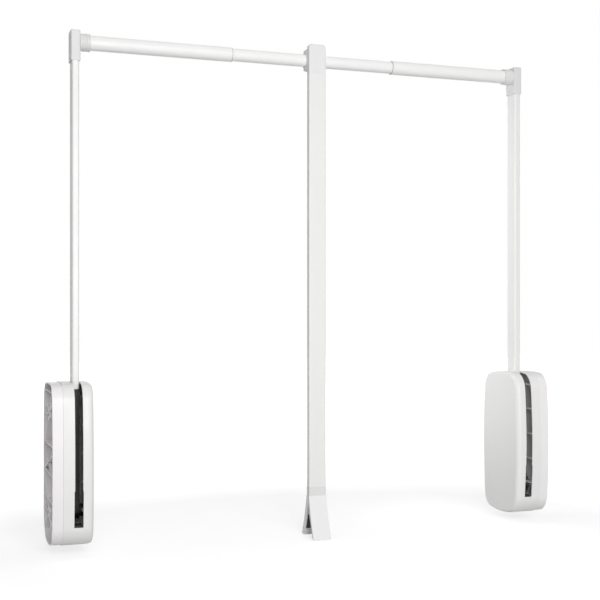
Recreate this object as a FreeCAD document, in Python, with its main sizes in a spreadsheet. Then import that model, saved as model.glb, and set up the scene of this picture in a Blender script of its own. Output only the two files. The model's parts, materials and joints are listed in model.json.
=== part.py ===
import FreeCAD, Part
import math
import os
import re
import Sketcher
from FreeCAD import Placement, Rotation, Vector

# Pull-down closet rod: two side boxes screwed to the wardrobe's walls, an arm that swings forward out of
# each, a telescopic hanging rod between the arms, and a hanging pull bar with a forked grip.
#
# Millimetres, +X from the left wall to the right one, +Y to the back of the wardrobe, +Z up.
# The origin is the middle of the left box's screw pattern, on the face that lies against the wall.
# The pieces of the left side are made about the left pivot and then placed; the right side mirrors them.

SIZES = [
    # The whole object
    ("overall_width", 924.0, "left wall face to right wall face, as stored"),
    ("rod_rise", 782.4, "pivot axis up to the rod's axis"),
    ("wall_to_arm", 42.4, "wall face to the middle of the arm"),
    ("pivot_height", 50.0, "bottom of the box up to the pivot axis"),
    ("centre_shift", 5.0, "middle of the rod's centre tube, right of mid-width, as stored"),
    # Side box
    ("box_height", 261.0, "box, bottom to top"),
    ("box_depth", 136.0, "box, front to back"),
    ("box_front", 57.5, "front of the box to the middle of the arm"),
    ("base_depth", 17.3, "base, wall face to the seam"),
    ("cover_depth", 49.8, "cover, seam to the inner face"),
    ("base_inset", 1.2, "step from the cover's outline in to the base's"),
    ("base_wall", 2.5, "rim of the base"),
    ("base_plate", 3.0, "floor of the base, at the seam"),
    ("shell_wall", 2.4, "wall of the cover"),
    ("side_curve", 1100.0, "radius of the gentle bulge of the box's front and back"),
    ("top_curve", 400.0, "radius of the bulge of the box's top"),
    ("top_rise", 3.9, "that bulge above the box's height"),
    ("top_peak", 9.0, "its highest place, in front of the box's middle"),
    ("bottom_curve", 230.0, "radius of the bulge of the box's bottom"),
    ("bottom_rise", 7.0, "that bulge below the box's height"),
    ("bottom_peak", 6.0, "its lowest place, behind the box's middle"),
    ("corner_top", 25.0, "corner radius at the top, front and back"),
    ("corner_front", 24.0, "corner radius at the bottom front"),
    ("corner_back", 19.0, "cover's corner radius at the bottom back"),
    ("base_corner_back", 35.0, "base's corner radius at the bottom back"),
    ("edge_round", 9.0, "rounding round the cover's inner face"),
    ("slot_bottom", 30.0, "bottom of the box up to the end of the slot"),
    ("arm_gap", 0.5, "slot side to arm"),
    ("slot_wide_height", 90.0, "bottom of the box up to where the slot narrows"),
    ("slot_step", 0.8, "slot's lower part is wider by this on each side"),
    ("lattice_web", 1.8, "ribs on the wall side of the base"),
    ("boss_radius", 9.0, "round bosses of the lattice"),
    ("upper_boss_drop", 50.0, "top of the box down to the upper boss"),
    ("cover_rib", 2.0, "cross ribs inside the cover's front"),
    ("cover_rib_reach", 10.0, "depth of those ribs"),
    # Wall screws
    ("screw_rows", 192.0, "between the two rows of wall screws"),
    ("screw_columns", 64.0, "between the two columns of wall screws"),
    ("screw_hole_radius", 2.6, "hole for a wall screw"),
    ("screw_head_radius", 5.0, "mouth of the countersink"),
    ("screw_boss_radius", 6.5, "sleeve round a wall screw"),
    # Cover screws
    ("post_radius", 4.0, "screw post inside the cover"),
    ("post_edge", 12.0, "outside of the box in to a post's axis"),
    ("post_screw_radius", 1.4, "cover screw"),
    ("post_screw_grip", 10.0, "cover screw's length in its post"),
    ("post_head_radius", 3.0, "cover screw's head"),
    ("post_head_height", 2.0, "cover screw's head"),
    ("screw_gap", 0.2, "hole round a screw it doesn't hold in"),
    # Pivot
    ("axle_radius", 4.0, "pivot axle"),
    ("axle_skin", 6.0, "base left in front of the axle's blind bore"),
    ("axle_boss", 7.0, "cover's boss for the axle"),
    ("running_gap", 0.05, "radial gap of every running fit"),
    ("end_play", 0.5, "along the axle at each end of the hub"),
    ("hub_radius", 11.0, "barrel of the arm's foot"),
    ("bush_wall", 1.45, "pivot bush"),
    ("bush_length", 9.0, "pivot bush"),
    ("bush_flange", 1.0, "flange of the bush"),
    ("bush_flange_reach", 2.0, "flange beyond the sleeve"),
    # Arm
    ("arm_thickness", 12.0, "arm tube, across the wardrobe"),
    ("arm_depth", 29.5, "arm tube, front to back"),
    ("arm_wall", 1.2, "arm tube"),
    ("arm_corner", 3.0, "arm tube's outer corner"),
    ("arm_tube_drop", 8.0, "top of the box down to the arm tube's lower end"),
    ("foot_web", 5.0, "web between the pockets in the foot's sides"),
    ("foot_rim", 4.0, "rim round those pockets"),
    ("tongue_length", 59.0, "foot's tongue in the tube"),
    ("socket_gap", 0.1, "round a tongue or a plug in its tube"),
    ("foot_pin_radius", 2.0, "pins through tube and tongue"),
    ("foot_pin_spacing", 25.0, "between the two pins"),
    # Rack and pinion
    ("gear_module", 2.0, "tooth size"),
    ("pinion_teeth", 20.0, "teeth round the pinion"),
    ("rack_teeth", 8.0, "teeth along the rack"),
    ("backlash", 0.15, "taken off each tooth's width"),
    ("gear_face", 12.0, "width of the teeth"),
    ("gear_offset", 10.0, "middle of the arm out to the gears"),
    ("rack_web", 7.5, "rack behind its teeth"),
    ("crosshead_rise", 16.0, "pivot axis up to the crosshead"),
    ("crosshead_height", 12.0, "crosshead"),
    ("crosshead_half", 8.0, "crosshead, either side of the spring's axis"),
    ("slide_gap", 0.3, "between pieces that slide or rest on each other"),
    ("guide_wall", 2.7, "rack guide"),
    ("guide_length", 57.0, "rack guide"),
    # Spring and damper
    ("spring_drop", 23.3, "top of the box down to the spring's upper end"),
    ("spring_wire", 2.6, "wire diameter"),
    ("spring_radius", 6.2, "middle of the coil to middle of the wire"),
    ("spring_turns", 17.0, "turns"),
    ("shelf_height", 5.0, "shelf that holds the spring down"),
    ("damper_radius", 4.2, "damper's cylinder"),
    ("damper_bore", 3.2, "bore of the cylinder"),
    ("damper_start", 70.0, "pivot axis up to the cylinder's lower end"),
    ("damper_head", 19.0, "solid upper end of the cylinder"),
    ("damper_gland", 4.0, "lower end of the cylinder round the rod"),
    ("damper_rod_radius", 2.0, "damper's rod"),
    ("damper_rod_seat", 6.0, "rod in the crosshead"),
    ("piston_height", 6.0, "piston"),
    ("piston_in", 8.0, "piston above the gland, as stored"),
    ("anchor_pin_radius", 2.0, "pin that holds the cylinder"),
    ("anchor_pin_rise", 11.0, "above the spring's upper end"),
    ("damper_eye", 4.3, "that pin up to the cylinder's upper end"),
    ("anchor_boss_depth", 10.0, "boss for that pin behind the base's floor"),
    # Rubber stops
    ("stop_thickness", 8.0, "rubber, in the direction it is pressed"),
    ("stop_web", 4.0, "shelf of the cover behind each stop"),
    ("upright_stop_drop", 61.0, "top of the box down to the foot of the upright stop"),
    ("upright_stop_height", 25.0, "upright stop"),
    ("lowered_stop_near", 28.0, "pivot axis forward to the lowered stop"),
    ("lowered_stop_length", 20.0, "lowered stop"),
    ("lowered_stop_drop", 2.15, "lowered stop below the level arm's underside"),
    # Rod bracket and collar
    ("bracket_width", 16.0, "across the wardrobe"),
    ("bracket_depth", 32.0, "front to back"),
    ("bracket_below", 33.4, "below the rod's axis"),
    ("bracket_above", 17.6, "above the rod's axis"),
    ("bracket_corner", 2.5, "upright edges"),
    ("bracket_socket", 22.0, "depth of the arm's socket"),
    ("rod_screw_radius", 2.5, "screw along the rod's axis"),
    ("rod_screw_length", 27.0, "screw below its head"),
    ("rod_screw_head_radius", 4.2, "screw's head"),
    ("rod_screw_head_height", 2.6, "screw's head"),
    ("cap_radius", 5.1, "cap over the screw"),
    ("cap_height", 0.8, "cap over the screw"),
    ("cap_recess", 3.0, "recess for screw head and cap"),
    ("plug_length", 22.0, "plug in the end of the rod"),
    ("collar_radius", 14.4, "collar between its ribs"),
    ("collar_length", 17.0, "collar"),
    ("collar_rib", 0.6, "ribs of the collar stand out by this"),
    ("collar_rib_width", 1.4, "ribs of the collar"),
    # Hanging rod
    ("outer_tube_radius", 12.5, "outer tubes"),
    ("centre_tube_radius", 11.0, "centre tube"),
    ("tube_wall", 1.0, "all three tubes"),
    ("left_tube_length", 263.1, "left outer tube"),
    ("right_tube_length", 251.9, "right outer tube"),
    ("centre_tube_length", 622.0, "centre tube"),
    ("glide_length", 20.0, "plastic glide in the mouth of an outer tube"),
    ("glide_lip", 1.5, "its lip"),
    # Handle
    ("bar_width", 32.0, "pull bar, across the wardrobe"),
    ("bar_thickness", 12.3, "pull bar, front to back"),
    ("bar_wall", 1.2, "pull bar"),
    ("bar_corner", 2.5, "pull bar's outer corner"),
    ("bar_back", 12.5, "rod's axis forward to the bar's back"),
    ("head_above", 25.6, "head above the rod's axis"),
    ("head_below", 27.4, "head below the rod's axis"),
    ("head_corner", 5.5, "head's top corners"),
    ("ring_wall", 2.25, "clamp ring round the centre tube"),
    ("ring_split", 0.15, "half the gap between the clamp's halves"),
    ("ear_reach", 7.0, "clamp's ears beyond the ring's bore"),
    ("ear_thickness", 4.5, "each ear"),
    ("clamp_screw_radius", 1.5, "clamp's and grip's screws"),
    ("clamp_screw_head", 2.8, "their heads"),
    ("clamp_screw_head_height", 2.0, "their heads"),
    ("clamp_screw_spacing", 20.0, "between the screws of one ear"),
    ("clamp_screw_grip", 8.0, "clamp's screw in the head"),
    ("bar_length", 737.0, "pull bar"),
    ("bar_plug", 30.0, "plug at each end of the bar"),
    ("grip_block", 15.0, "block at the top of the grip"),
    ("leg_width", 33.0, "grip's legs, across the wardrobe"),
    ("leg_length", 75.0, "legs below the block"),
    ("leg_spread", 31.0, "foot of a leg out from the bar's middle"),
    ("leg_curve", 390.0, "radius of a leg's curve"),
    ("leg_thickness", 5.0, "a leg at its foot"),
    ("leg_skin", 2.0, "front of a leg, in front of its hollow"),
    ("leg_rim", 2.4, "rim round the hollow"),
    ("leg_corner", 4.5, "leg's bottom corners"),
    ("leg_hollow_top", 14.0, "block down to the hollow"),
    ("tongue_half", 1.8, "half the thickness of the grip's middle tongue"),
    ("grip_tongue", 12.0, "length of that tongue"),
    ("grip_screw_spacing", 16.0, "between the two grip screws"),
    ("grip_screw_drop", 6.0, "block down to the grip screws"),
]

NEAR = 1e-4
DOCUMENT = FreeCAD.newDocument("PullDownClosetRod")
SHEET = DOCUMENT.addObject("Spreadsheet::Sheet", "sizes")


def fill_sheet():
    """Writes each driving dimension in the sheet, with its alias and meaning."""
    for row, (alias, number, meaning) in enumerate(SIZES, 1):
        SHEET.set(f"A{row}", meaning)
        SHEET.set(f"B{row}", str(number))
        SHEET.setAlias(f"B{row}", alias)
    DOCUMENT.recompute()


ALIASES = {alias for alias, number, meaning in SIZES}


def from_sheet(expression):
    """The expression with each alias spelt as the sheet's own cell."""
    return re.sub(r"[a-z]\w+", lambda word: "sizes." * (word[0] in ALIASES) + word[0], expression)


def value(expression):
    """What an expression in the sheet's sizes comes to, in millimetres."""
    return float(SHEET.evalExpression(from_sheet(expression)))


def bind(thing, name, expression):
    """Ties a property to an expression in the sheet's sizes."""
    thing.setExpression(name, from_sheet(expression))


# Places about the left pivot, which all of the left side's pieces share
BOX_BOTTOM = "(0 - pivot_height)"
BOX_TOP = "(box_height - pivot_height)"
BOX_FRONT = "(0 - box_front)"
BOX_BACK = "(box_depth - box_front)"
BOX_MIDDLE_Y = "(box_depth / 2 - box_front)"
BOX_MIDDLE_Z = "(box_height / 2 - pivot_height)"
WALL = "(0 - wall_to_arm)"
SEAM = "(base_depth - wall_to_arm)"
INNER_FACE = "(base_depth + cover_depth - wall_to_arm)"
COVER_INSIDE = "(base_depth + cover_depth - shell_wall - wall_to_arm)"
BASE_FLOOR = "(base_depth - base_plate - wall_to_arm)"
SLOT_BOTTOM = "(slot_bottom - pivot_height)"
HUB_OUTER = "(base_depth - wall_to_arm + end_play + bush_flange)"
HUB_INNER = "(base_depth + cover_depth - shell_wall - wall_to_arm - axle_boss - end_play - bush_flange)"
ARM_SIDE = "(arm_thickness / 2)"
ARM_FACE = "(arm_depth / 2)"
GEAR_INNER = "(0 - gear_offset)"
GEAR_OUTER = "(0 - gear_offset - gear_face)"
GEAR_MIDDLE = "(0 - gear_offset - gear_face / 2)"
PITCH_RADIUS = "(gear_module * pinion_teeth / 2)"
RACK_ROOT = "(gear_module * pinion_teeth / 2 + 1.25 * gear_module)"
RACK_BACK = "(gear_module * pinion_teeth / 2 + 1.25 * gear_module + rack_web)"
SPRING_AXIS = "(gear_module * pinion_teeth / 2 + 1.25 * gear_module + rack_web / 2)"
CROSSHEAD_TOP = "(crosshead_rise + crosshead_height)"
SPRING_TOP = f"({BOX_TOP} - spring_drop)"
DAMPER_TOP = f"({SPRING_TOP} + anchor_pin_rise + damper_eye)"
UPPER_BOSS = f"({BOX_TOP} - upper_boss_drop)"
UPRIGHT_STOP = f"({BOX_TOP} - upright_stop_drop)"
ARM_START = f"({BOX_TOP} - arm_tube_drop)"
ROD_SIDE = "(bracket_width / 2)"
ARM_PLANE = "(box_front - box_depth / 2)"
PIVOT_Z = "(pivot_height - box_height / 2)"


# ---------------------------------------------------------------- shapes

# For each axis that a sketch is extruded along: the plane it lies in, and the sign of that plane's normal
PLANES = {"X": ("YZ_Plane", 1), "Y": ("XZ_Plane", -1), "Z": ("XY_Plane", 1)}


def new_body(name):
    return DOCUMENT.addObject("PartDesign::Body", name)


def new_sketch(body, name, along, low):
    """A sketch across an axis, at the place on it where an extrusion starts."""
    plane, sign = PLANES[along]
    sketch = body.newObject("Sketcher::SketchObject", name)
    role = [feature for feature in body.Origin.OriginFeatures if feature.Role == plane]
    sketch.AttachmentSupport = (role[0], [""])
    sketch.MapMode = "FlatFace"
    bind(sketch, "AttachmentOffset.Base.z", low if sign > 0 else f"0 - ({low})")
    return sketch


def draw_outline(sketch, points, arcs):
    """A closed outline through points given as pairs of expressions. arcs gives, by the number of the
    side, an arc's radius and the way it bows: 1 to the right of the way round, -1 to the left."""
    corners = [Vector(value(across), value(up), 0) for across, up in points]
    ends = []
    for side, start in enumerate(corners):
        end = corners[(side + 1) % len(corners)]
        if side in arcs:
            radius, bow = value(arcs[side][0]), arcs[side][1]
            chord = end - start
            rise = radius - math.sqrt(radius**2 - chord.Length**2 / 4)
            out = Vector(chord.y, -chord.x, 0).normalize() * (bow * rise)
            middle = start + chord / 2 + out
            sketch.addGeometry(Part.Arc(start, middle, end) if bow > 0 else Part.Arc(end, middle, start))
            ends.append((1, 2) if bow > 0 else (2, 1))
        else:
            sketch.addGeometry(Part.LineSegment(start, end))
            ends.append((1, 2))
    for side, (first, last) in enumerate(ends):
        following = (side + 1) % len(ends)
        sketch.addConstraint(Sketcher.Constraint("Coincident", side, last, following, ends[following][0]))
        for kind, number, expression in zip(("DistanceX", "DistanceY"), corners[side], points[side]):
            placed = sketch.addConstraint(Sketcher.Constraint(kind, -1, 1, side, first, number))
            bind(sketch, f"Constraints[{placed}]", expression)
    for side, (radius, bow) in arcs.items():
        sized = sketch.addConstraint(Sketcher.Constraint("Radius", side, value(radius)))
        bind(sketch, f"Constraints[{sized}]", radius)


def extrude(body, name, along, span, points, arcs=None, pocket=False):
    """Pads, or pockets, an outline from the low end of a span to its high end."""
    low, high = span
    sketch = new_sketch(body, name + "_sketch", along, low)
    draw_outline(sketch, points, arcs or {})
    feature = body.newObject("PartDesign::Pocket" if pocket else "PartDesign::Pad", name)
    feature.Profile = sketch
    bind(feature, "Length", f"({high}) - ({low})")
    feature.Reversed = (PLANES[along][1] > 0) == pocket
    DOCUMENT.recompute()
    return feature


def rounded_outline(first, second, radii):
    """A rectangle between two pairs of expressions, anticlockwise from its low corner, with its arcs.
    radii are the corners' radii in that order, None where a corner is sharp."""
    points, arcs = [], {}
    turns = [(0, 0, 1, 1), (1, 0, -1, 1), (1, 1, -1, -1), (0, 1, 1, -1)]
    for radius, (across, up, inward, upward) in zip(radii, turns):
        corner = (first[across], second[up])
        if radius is None:
            points.append(corner)
            continue
        along_first = (f"{corner[0]} + {inward} * ({radius})", corner[1])
        along_second = (corner[0], f"{corner[1]} + {upward} * ({radius})")
        arcs[len(points)] = (radius, 1)
        points += [along_second, along_first] if across == up else [along_first, along_second]
    return points, arcs


def round_edges(body, feature, name, radius, chosen):
    """Fillets the edges of a feature for which chosen is true."""
    fillet = body.newObject("PartDesign::Fillet", name)
    fillet.Base = (feature, [f"Edge{n}" for n, edge in enumerate(feature.Shape.Edges, 1) if chosen(edge)])
    bind(fillet, "Radius", radius)
    DOCUMENT.recompute()
    return fillet


def edge_in_plane(along, place):
    """Chooses the edges that lie in a plane across an axis."""
    level = value(place)

    def chosen(edge):
        ends = (getattr(edge.BoundBox, along + "Min"), getattr(edge.BoundBox, along + "Max"))
        return all(abs(end - level) < NEAR for end in ends)

    return chosen


def edge_through(**places):
    """Chooses the straight edges that keep the given coordinates from end to end."""
    wanted = {axis: [value(place) for place in choices] for axis, choices in places.items()}

    def chosen(edge):
        ends = [vertex.Point for vertex in edge.Vertexes]
        return len(ends) == 2 and all(
            any(all(abs(getattr(end, axis) - place) < NEAR for end in ends) for place in choices)
            for axis, choices in wanted.items()
        )

    return chosen


def rounded_block(body, name, along, span, first, second, radii, pocket=False):
    """A block, or a pocket, whose long edges are rounded by one radius or by four."""
    radii = [radii] * 4 if isinstance(radii, str) else radii
    return extrude(body, name, along, span, *rounded_outline(first, second, radii), pocket)


def block(name, x, y, z):
    """A box between two expressions along each axis."""
    box = DOCUMENT.addObject("Part::Box", name)
    for side, axis, (low, high) in (("Length", "x", x), ("Width", "y", y), ("Height", "z", z)):
        bind(box, side, f"({high}) - ({low})")
        bind(box, f"Placement.Base.{axis}", low)
    return box


TURNS = {"X": Rotation(Vector(0, 1, 0), 90), "Y": Rotation(Vector(1, 0, 0), -90), "Z": Rotation()}
ACROSS = {"X": "yz", "Y": "xz", "Z": "xy"}


def lay_along(thing, axis, low, centre):
    """Turns a cylinder or cone to an axis, its foot at low and its centre at a pair of expressions."""
    thing.Placement = Placement(Vector(), TURNS[axis])
    bind(thing, f"Placement.Base.{axis.lower()}", low)
    for other, place in zip(ACROSS[axis], centre):
        bind(thing, f"Placement.Base.{other}", place)


def pin(name, axis, radius, span, centre=("0", "0")):
    """A cylinder between two expressions along an axis."""
    low, high = span
    cylinder = DOCUMENT.addObject("Part::Cylinder", name)
    bind(cylinder, "Radius", radius)
    bind(cylinder, "Height", f"({high}) - ({low})")
    lay_along(cylinder, axis, low, centre)
    return cylinder


def taper(name, axis, radii, span, centre=("0", "0")):
    """A cone between two expressions along an axis."""
    low, high = span
    cone = DOCUMENT.addObject("Part::Cone", name)
    bind(cone, "Radius1", radii[0])
    bind(cone, "Radius2", radii[1])
    bind(cone, "Height", f"({high}) - ({low})")
    lay_along(cone, axis, low, centre)
    return cone


def fuse(name, *pieces):
    joined = DOCUMENT.addObject("Part::MultiFuse", name)
    joined.Shapes = list(pieces)
    joined.Refine = True
    return joined


def cut(name, base, *tools):
    """The base less its tools."""
    rest = DOCUMENT.addObject("Part::Cut", name)
    rest.Base = base
    rest.Tool = tools[0] if len(tools) == 1 else fuse(name + "_tools", *tools)
    rest.Refine = True
    return rest


def group(name, *pieces):
    """Separate solids that share one node."""
    together = DOCUMENT.addObject("Part::Compound", name)
    together.Links = list(pieces)
    return together


def made_of(name, shape):
    """A piece whose shape is worked out from the sheet's sizes by its own function."""
    feature = DOCUMENT.addObject("Part::Feature", name)
    feature.Shape = shape
    return feature


# ---------------------------------------------------------------- side box


# All four sides of the box bulge gently between its rounded corners. Each outline of the box, however far it
# is drawn in, keeps the same centres: those of the four long curves and those of the corners.
CORNERS = {
    "top_back": ("corner_top", 1, 1),
    "top_front": ("corner_top", -1, 1),
    "bottom_front": ("corner_front", -1, -1),
    "bottom_back": ("corner_back", 1, -1),
}


def side_middle(back):
    """Where the centre of an upright curve lies front to back: the back's one for 1, the front's for -1."""
    return f"({BOX_MIDDLE_Y} + {back} * (box_depth / 2 - side_curve))"


def end_middle(top):
    """The centre of the curve along the top, for 1, or along the bottom, for -1, and its radius."""
    end = "top" if top > 0 else "bottom"
    across = f"({BOX_MIDDLE_Y} - {top} * {end}_peak)"
    return across, f"({BOX_MIDDLE_Z} + {top} * (box_height / 2 + {end}_rise - {end}_curve))", f"{end}_curve"


def corner_centre(corner):
    """The centre of a corner that runs smoothly into the curves beside it: where circles about their
    centres cross, each smaller than its curve by the corner's radius. corner is that radius, with the
    signs of its directions from the box's middle."""
    radius, back, top = corner
    side, (end, level, curve) = side_middle(back), end_middle(top)
    across, up = f"({end} - {side})", f"({level} - {BOX_MIDDLE_Z})"
    apart = f"({across}^2 + {up}^2)"
    share = f"((side_curve - {radius})^2 - ({curve} - {radius})^2 + {apart}) / (2 * {apart})"
    off = f"{back * top} * sqrt((side_curve - {radius})^2 / {apart} - ({share})^2)"
    y = f"({side} + {share} * {across} - {off} * {up})"
    return y, f"({BOX_MIDDLE_Z} + {share} * {up} + {off} * {across})"


def corner_place(corner, depth):
    """A place on a rounded corner's diagonal, at a depth below the box's outline."""
    radius, back, top = corner
    y, z = corner_centre(corner)
    reach = f"({radius} - ({depth})) * {math.sqrt(0.5)}"
    return f"({y} + {back} * {reach})", f"({z} + {top} * {reach})"


def corner_ends(corner, inset):
    """Where a corner's arc meets the upright curve, and where it meets the top's or bottom's curve."""
    radius, back, top = corner
    y, z = corner_centre(corner)
    side, (end, level, curve) = side_middle(back), end_middle(top)
    ends = []
    for across, up, long_curve in ((side, BOX_MIDDLE_Z, "side_curve"), (end, level, curve)):
        share = f"({long_curve} - ({inset})) / ({long_curve} - {radius})"
        ends.append((f"{across} + ({y} - {across}) * {share}", f"{up} + ({z} - {up}) * {share}"))
    return ends


def box_outline(body, name, span, inset, back_radius):
    """The box's outline, seen from its side, drawn in by an inset and extruded across the wardrobe."""
    points, arcs = [], {}
    back_corner = (back_radius, 1, -1)
    corners = [CORNERS["bottom_front"], back_corner, CORNERS["top_back"], CORNERS["top_front"]]
    for number, corner in enumerate(corners):
        on_side, on_end = corner_ends(corner, inset)
        arcs[len(points)] = (f"{corner[0]} - ({inset})", 1)
        points += [on_side, on_end] if number % 2 == 0 else [on_end, on_side]
    for side, curve in enumerate(("bottom_curve", "side_curve", "top_curve", "side_curve")):
        arcs[2 * side + 1] = (f"{curve} - ({inset})", 1)
    return extrude(body, name, "X", span, points, arcs)


def hollowed(name, outside, hollow, features):
    """A solid less its hollow, except where features stand in that hollow."""
    return cut(name, outside, cut(name + "_room", hollow, *features))


def post_places():
    """Where the cover's screw posts stand: clear of the arm and of the slot it swings through."""
    names = ("top_back", "bottom_back", "bottom_front")
    places = [corner_place(CORNERS[name], "post_edge") for name in names]
    return places + [(f"({BOX_BACK} - post_edge)", BOX_MIDDLE_Z)]


def wall_screw_places():
    rows = [f"({BOX_MIDDLE_Z} + {top} * screw_rows / 2)" for top in (-1, 1)]
    columns = [f"({BOX_MIDDLE_Y} + {back} * screw_columns / 2)" for back in (-1, 1)]
    return [(column, row) for column in columns for row in rows]


def lattice_rib(number, start, end):
    """An upright rib on the wall side of the base, between two places given as pairs of expressions."""
    (y0, z0), (y1, z1) = [(value(y), value(z)) for y, z in (start, end)]
    rib = DOCUMENT.addObject("Part::Box", f"lattice_rib_{number}")
    bind(rib, "Length", f"({BASE_FLOOR}) - {WALL}")
    bind(rib, "Width", f"sqrt(({end[0]} - {start[0]})^2 + ({end[1]} - {start[1]})^2)")
    bind(rib, "Height", "lattice_web")
    turn = Rotation(Vector(1, 0, 0), math.degrees(math.atan2(z1 - z0, y1 - y0)))
    foot = Vector(value(WALL), y0, z0) - turn.multVec(Vector(0, 0, value("lattice_web / 2")))
    rib.Placement = Placement(foot, turn)
    return rib


def lattice():
    """The ribs: level ones from rim to rim, and slanting ones that meet in the bosses and cross in the
    middle."""
    front, back = f"({BOX_FRONT} + base_inset)", f"({BOX_BACK} - base_inset)"
    lower, upper = ("0", "0"), ("0", UPPER_BOSS)
    levels = [f"({BOX_MIDDLE_Z} + {share} * box_height)" for share in (-0.235, -0.06, 0.12, 0.455)]
    ribs = [((front, level), (back, level)) for level in levels + [lower[1], upper[1]]]
    rim = {name: corner_place(corner, "base_inset") for name, corner in CORNERS.items()}
    rim["bottom_back"] = corner_place(("base_corner_back", 1, -1), "base_inset")
    ribs += [(lower, rim["bottom_front"]), (lower, rim["bottom_back"])]
    ribs += [(upper, rim["top_front"]), (upper, rim["top_back"])]
    for way, boss in ((-1, lower), (1, upper)):
        ribs.append((boss, (back, f"({BOX_MIDDLE_Z} + {way} * 0.06 * box_height)")))
        ends = [f"({BOX_MIDDLE_Z} + {side * way} * 0.08 * box_height)" for side in (-1, 1)]
        ribs.append(((front, ends[0]), (back, ends[1])))
    return [lattice_rib(number, *ends) for number, ends in enumerate(ribs, 1)]


ANCHOR_PLACE = (SPRING_AXIS, f"{SPRING_TOP} + anchor_pin_rise")
ANCHOR_FOOT = f"{SEAM} - anchor_boss_depth"
PAST_SEAM = f"{SEAM} + 1"
PAST_WALL = f"{WALL} - 1"


def base_housing():
    """The half of the box that is screwed to the wall: a rim and a floor, with an open lattice of ribs and
    sleeves on the wall side, and a shelf inside that holds the spring down."""
    outside, hollow = new_body("base_outside"), new_body("base_hollow")
    box_outline(outside, "base_rim", (WALL, SEAM), "base_inset", "base_corner_back")
    box_outline(hollow, "base_pocket", (PAST_WALL, BASE_FLOOR), "base_inset + base_wall", "base_corner_back")
    bosses = [
        pin("pivot_boss", "X", "boss_radius", (WALL, SEAM)),
        pin("upper_boss", "X", "boss_radius", (WALL, SEAM), ("0", UPPER_BOSS)),
        pin("anchor_boss", "X", "anchor_pin_radius + 3", (f"{ANCHOR_FOOT} - 1", SEAM), ANCHOR_PLACE),
    ]
    for place in wall_screw_places():
        bosses.append(pin("screw_sleeve", "X", "screw_boss_radius", (WALL, SEAM), place))
    shelf = block(
        "spring_shelf", (f"{SEAM} - 1", GEAR_INNER),
        (f"{SPRING_AXIS} - crosshead_half", f"{SPRING_AXIS} + crosshead_half"),
        (f"{SPRING_TOP} + slide_gap", f"{SPRING_TOP} + slide_gap + shelf_height"),
    )
    tray = hollowed("base_tray", outside, hollow, bosses + lattice())
    tools = [
        pin("axle_bore", "X", "axle_radius", (f"{WALL} + axle_skin", PAST_SEAM)),
        pin("anchor_bore", "X", "anchor_pin_radius", (ANCHOR_FOOT, PAST_SEAM), ANCHOR_PLACE),
        pin(
            "damper_hole", "Z", "damper_radius + slide_gap", (SPRING_TOP, f"{SPRING_TOP} + shelf_height + 1"),
            (GEAR_MIDDLE, SPRING_AXIS),
        ),
    ]
    sunk = "(screw_head_radius - screw_hole_radius)"
    for place in wall_screw_places():
        radii = ("screw_hole_radius", "screw_head_radius")
        tools.append(pin("wall_screw_hole", "X", "screw_hole_radius", (PAST_WALL, PAST_SEAM), place))
        tools.append(taper("countersink", "X", radii, (f"{SEAM} - {sunk}", SEAM), place))
    for place in post_places():
        radius = "post_screw_radius + screw_gap"
        tools.append(pin("cover_screw_hole", "X", radius, (PAST_WALL, PAST_SEAM), place))
        radius = "post_head_radius + 4 * screw_gap"
        tools.append(pin("head_room", "X", radius, (PAST_WALL, BASE_FLOOR), place))
    return cut("base_housing", fuse("base_solid", tray, shelf), *tools)


def slot_room():
    """The slot that the arm swings through, down the front and over the top, a little wider low down."""
    deep = (f"{BOX_FRONT} - 1", f"{ARM_FACE} + arm_gap")
    half = f"({ARM_SIDE} + arm_gap)"
    slot = block("slot", (f"0 - {half}", half), deep, (SLOT_BOTTOM, f"{BOX_TOP} + top_rise + 1"))
    half = f"({half} + slot_step)"
    low = block("slot_foot", (f"0 - {half}", half), deep, (SLOT_BOTTOM, "slot_wide_height - pivot_height"))
    return [slot, low]


def cover_shell():
    """The smooth outer half of the box: a hollow shell with a slot down its front and over its top, screw
    posts, a boss for the axle, cross ribs behind the front, and a shelf for each rubber stop."""
    outside, hollow = new_body("cover_outside"), new_body("cover_hollow")
    solid = box_outline(outside, "cover_block", (SEAM, INNER_FACE), "0", "corner_back")
    round_edges(outside, solid, "cover_edge", "edge_round", edge_in_plane("X", INNER_FACE))
    room = box_outline(hollow, "cover_room", (SEAM, COVER_INSIDE), "shell_wall", "corner_back")
    round_edges(hollow, room, "cover_inner_edge", "edge_round - shell_wall", edge_in_plane("X", COVER_INSIDE))
    past_inside = f"{COVER_INSIDE} + 1"
    features = [pin("post", "X", "post_radius", (SEAM, past_inside), place) for place in post_places()]
    features.append(pin("axle_boss", "X", "2 * axle_radius", (f"{COVER_INSIDE} - axle_boss", past_inside)))
    for share in (0.21, 0.385, 0.565, 0.745, 0.92):
        level = f"{BOX_BOTTOM} + {share} * box_height"
        deep = (BOX_FRONT, f"{BOX_FRONT} + shell_wall + cover_rib_reach")
        features.append(block("cover_rib", (SEAM, past_inside), deep, (level, f"{level} + cover_rib")))
    for span in (upright_stop_span(True), lowered_stop_span(True)):
        features.append(block("stop_shelf", (f"0 - {ARM_SIDE}", past_inside), *span))
    deep = (f"{COVER_INSIDE} - axle_boss - 1", f"{COVER_INSIDE} - 1")
    bore = pin("cover_axle_bore", "X", "axle_radius", deep)
    pilots = [
        pin("pilot", "X", "post_screw_radius", (f"{SEAM} - 1", f"{SEAM} + post_screw_grip"), place)
        for place in post_places()
    ]
    return cut("cover_shell", hollowed("cover_skin", outside, hollow, features), *slot_room(), bore, *pilots)


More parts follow.
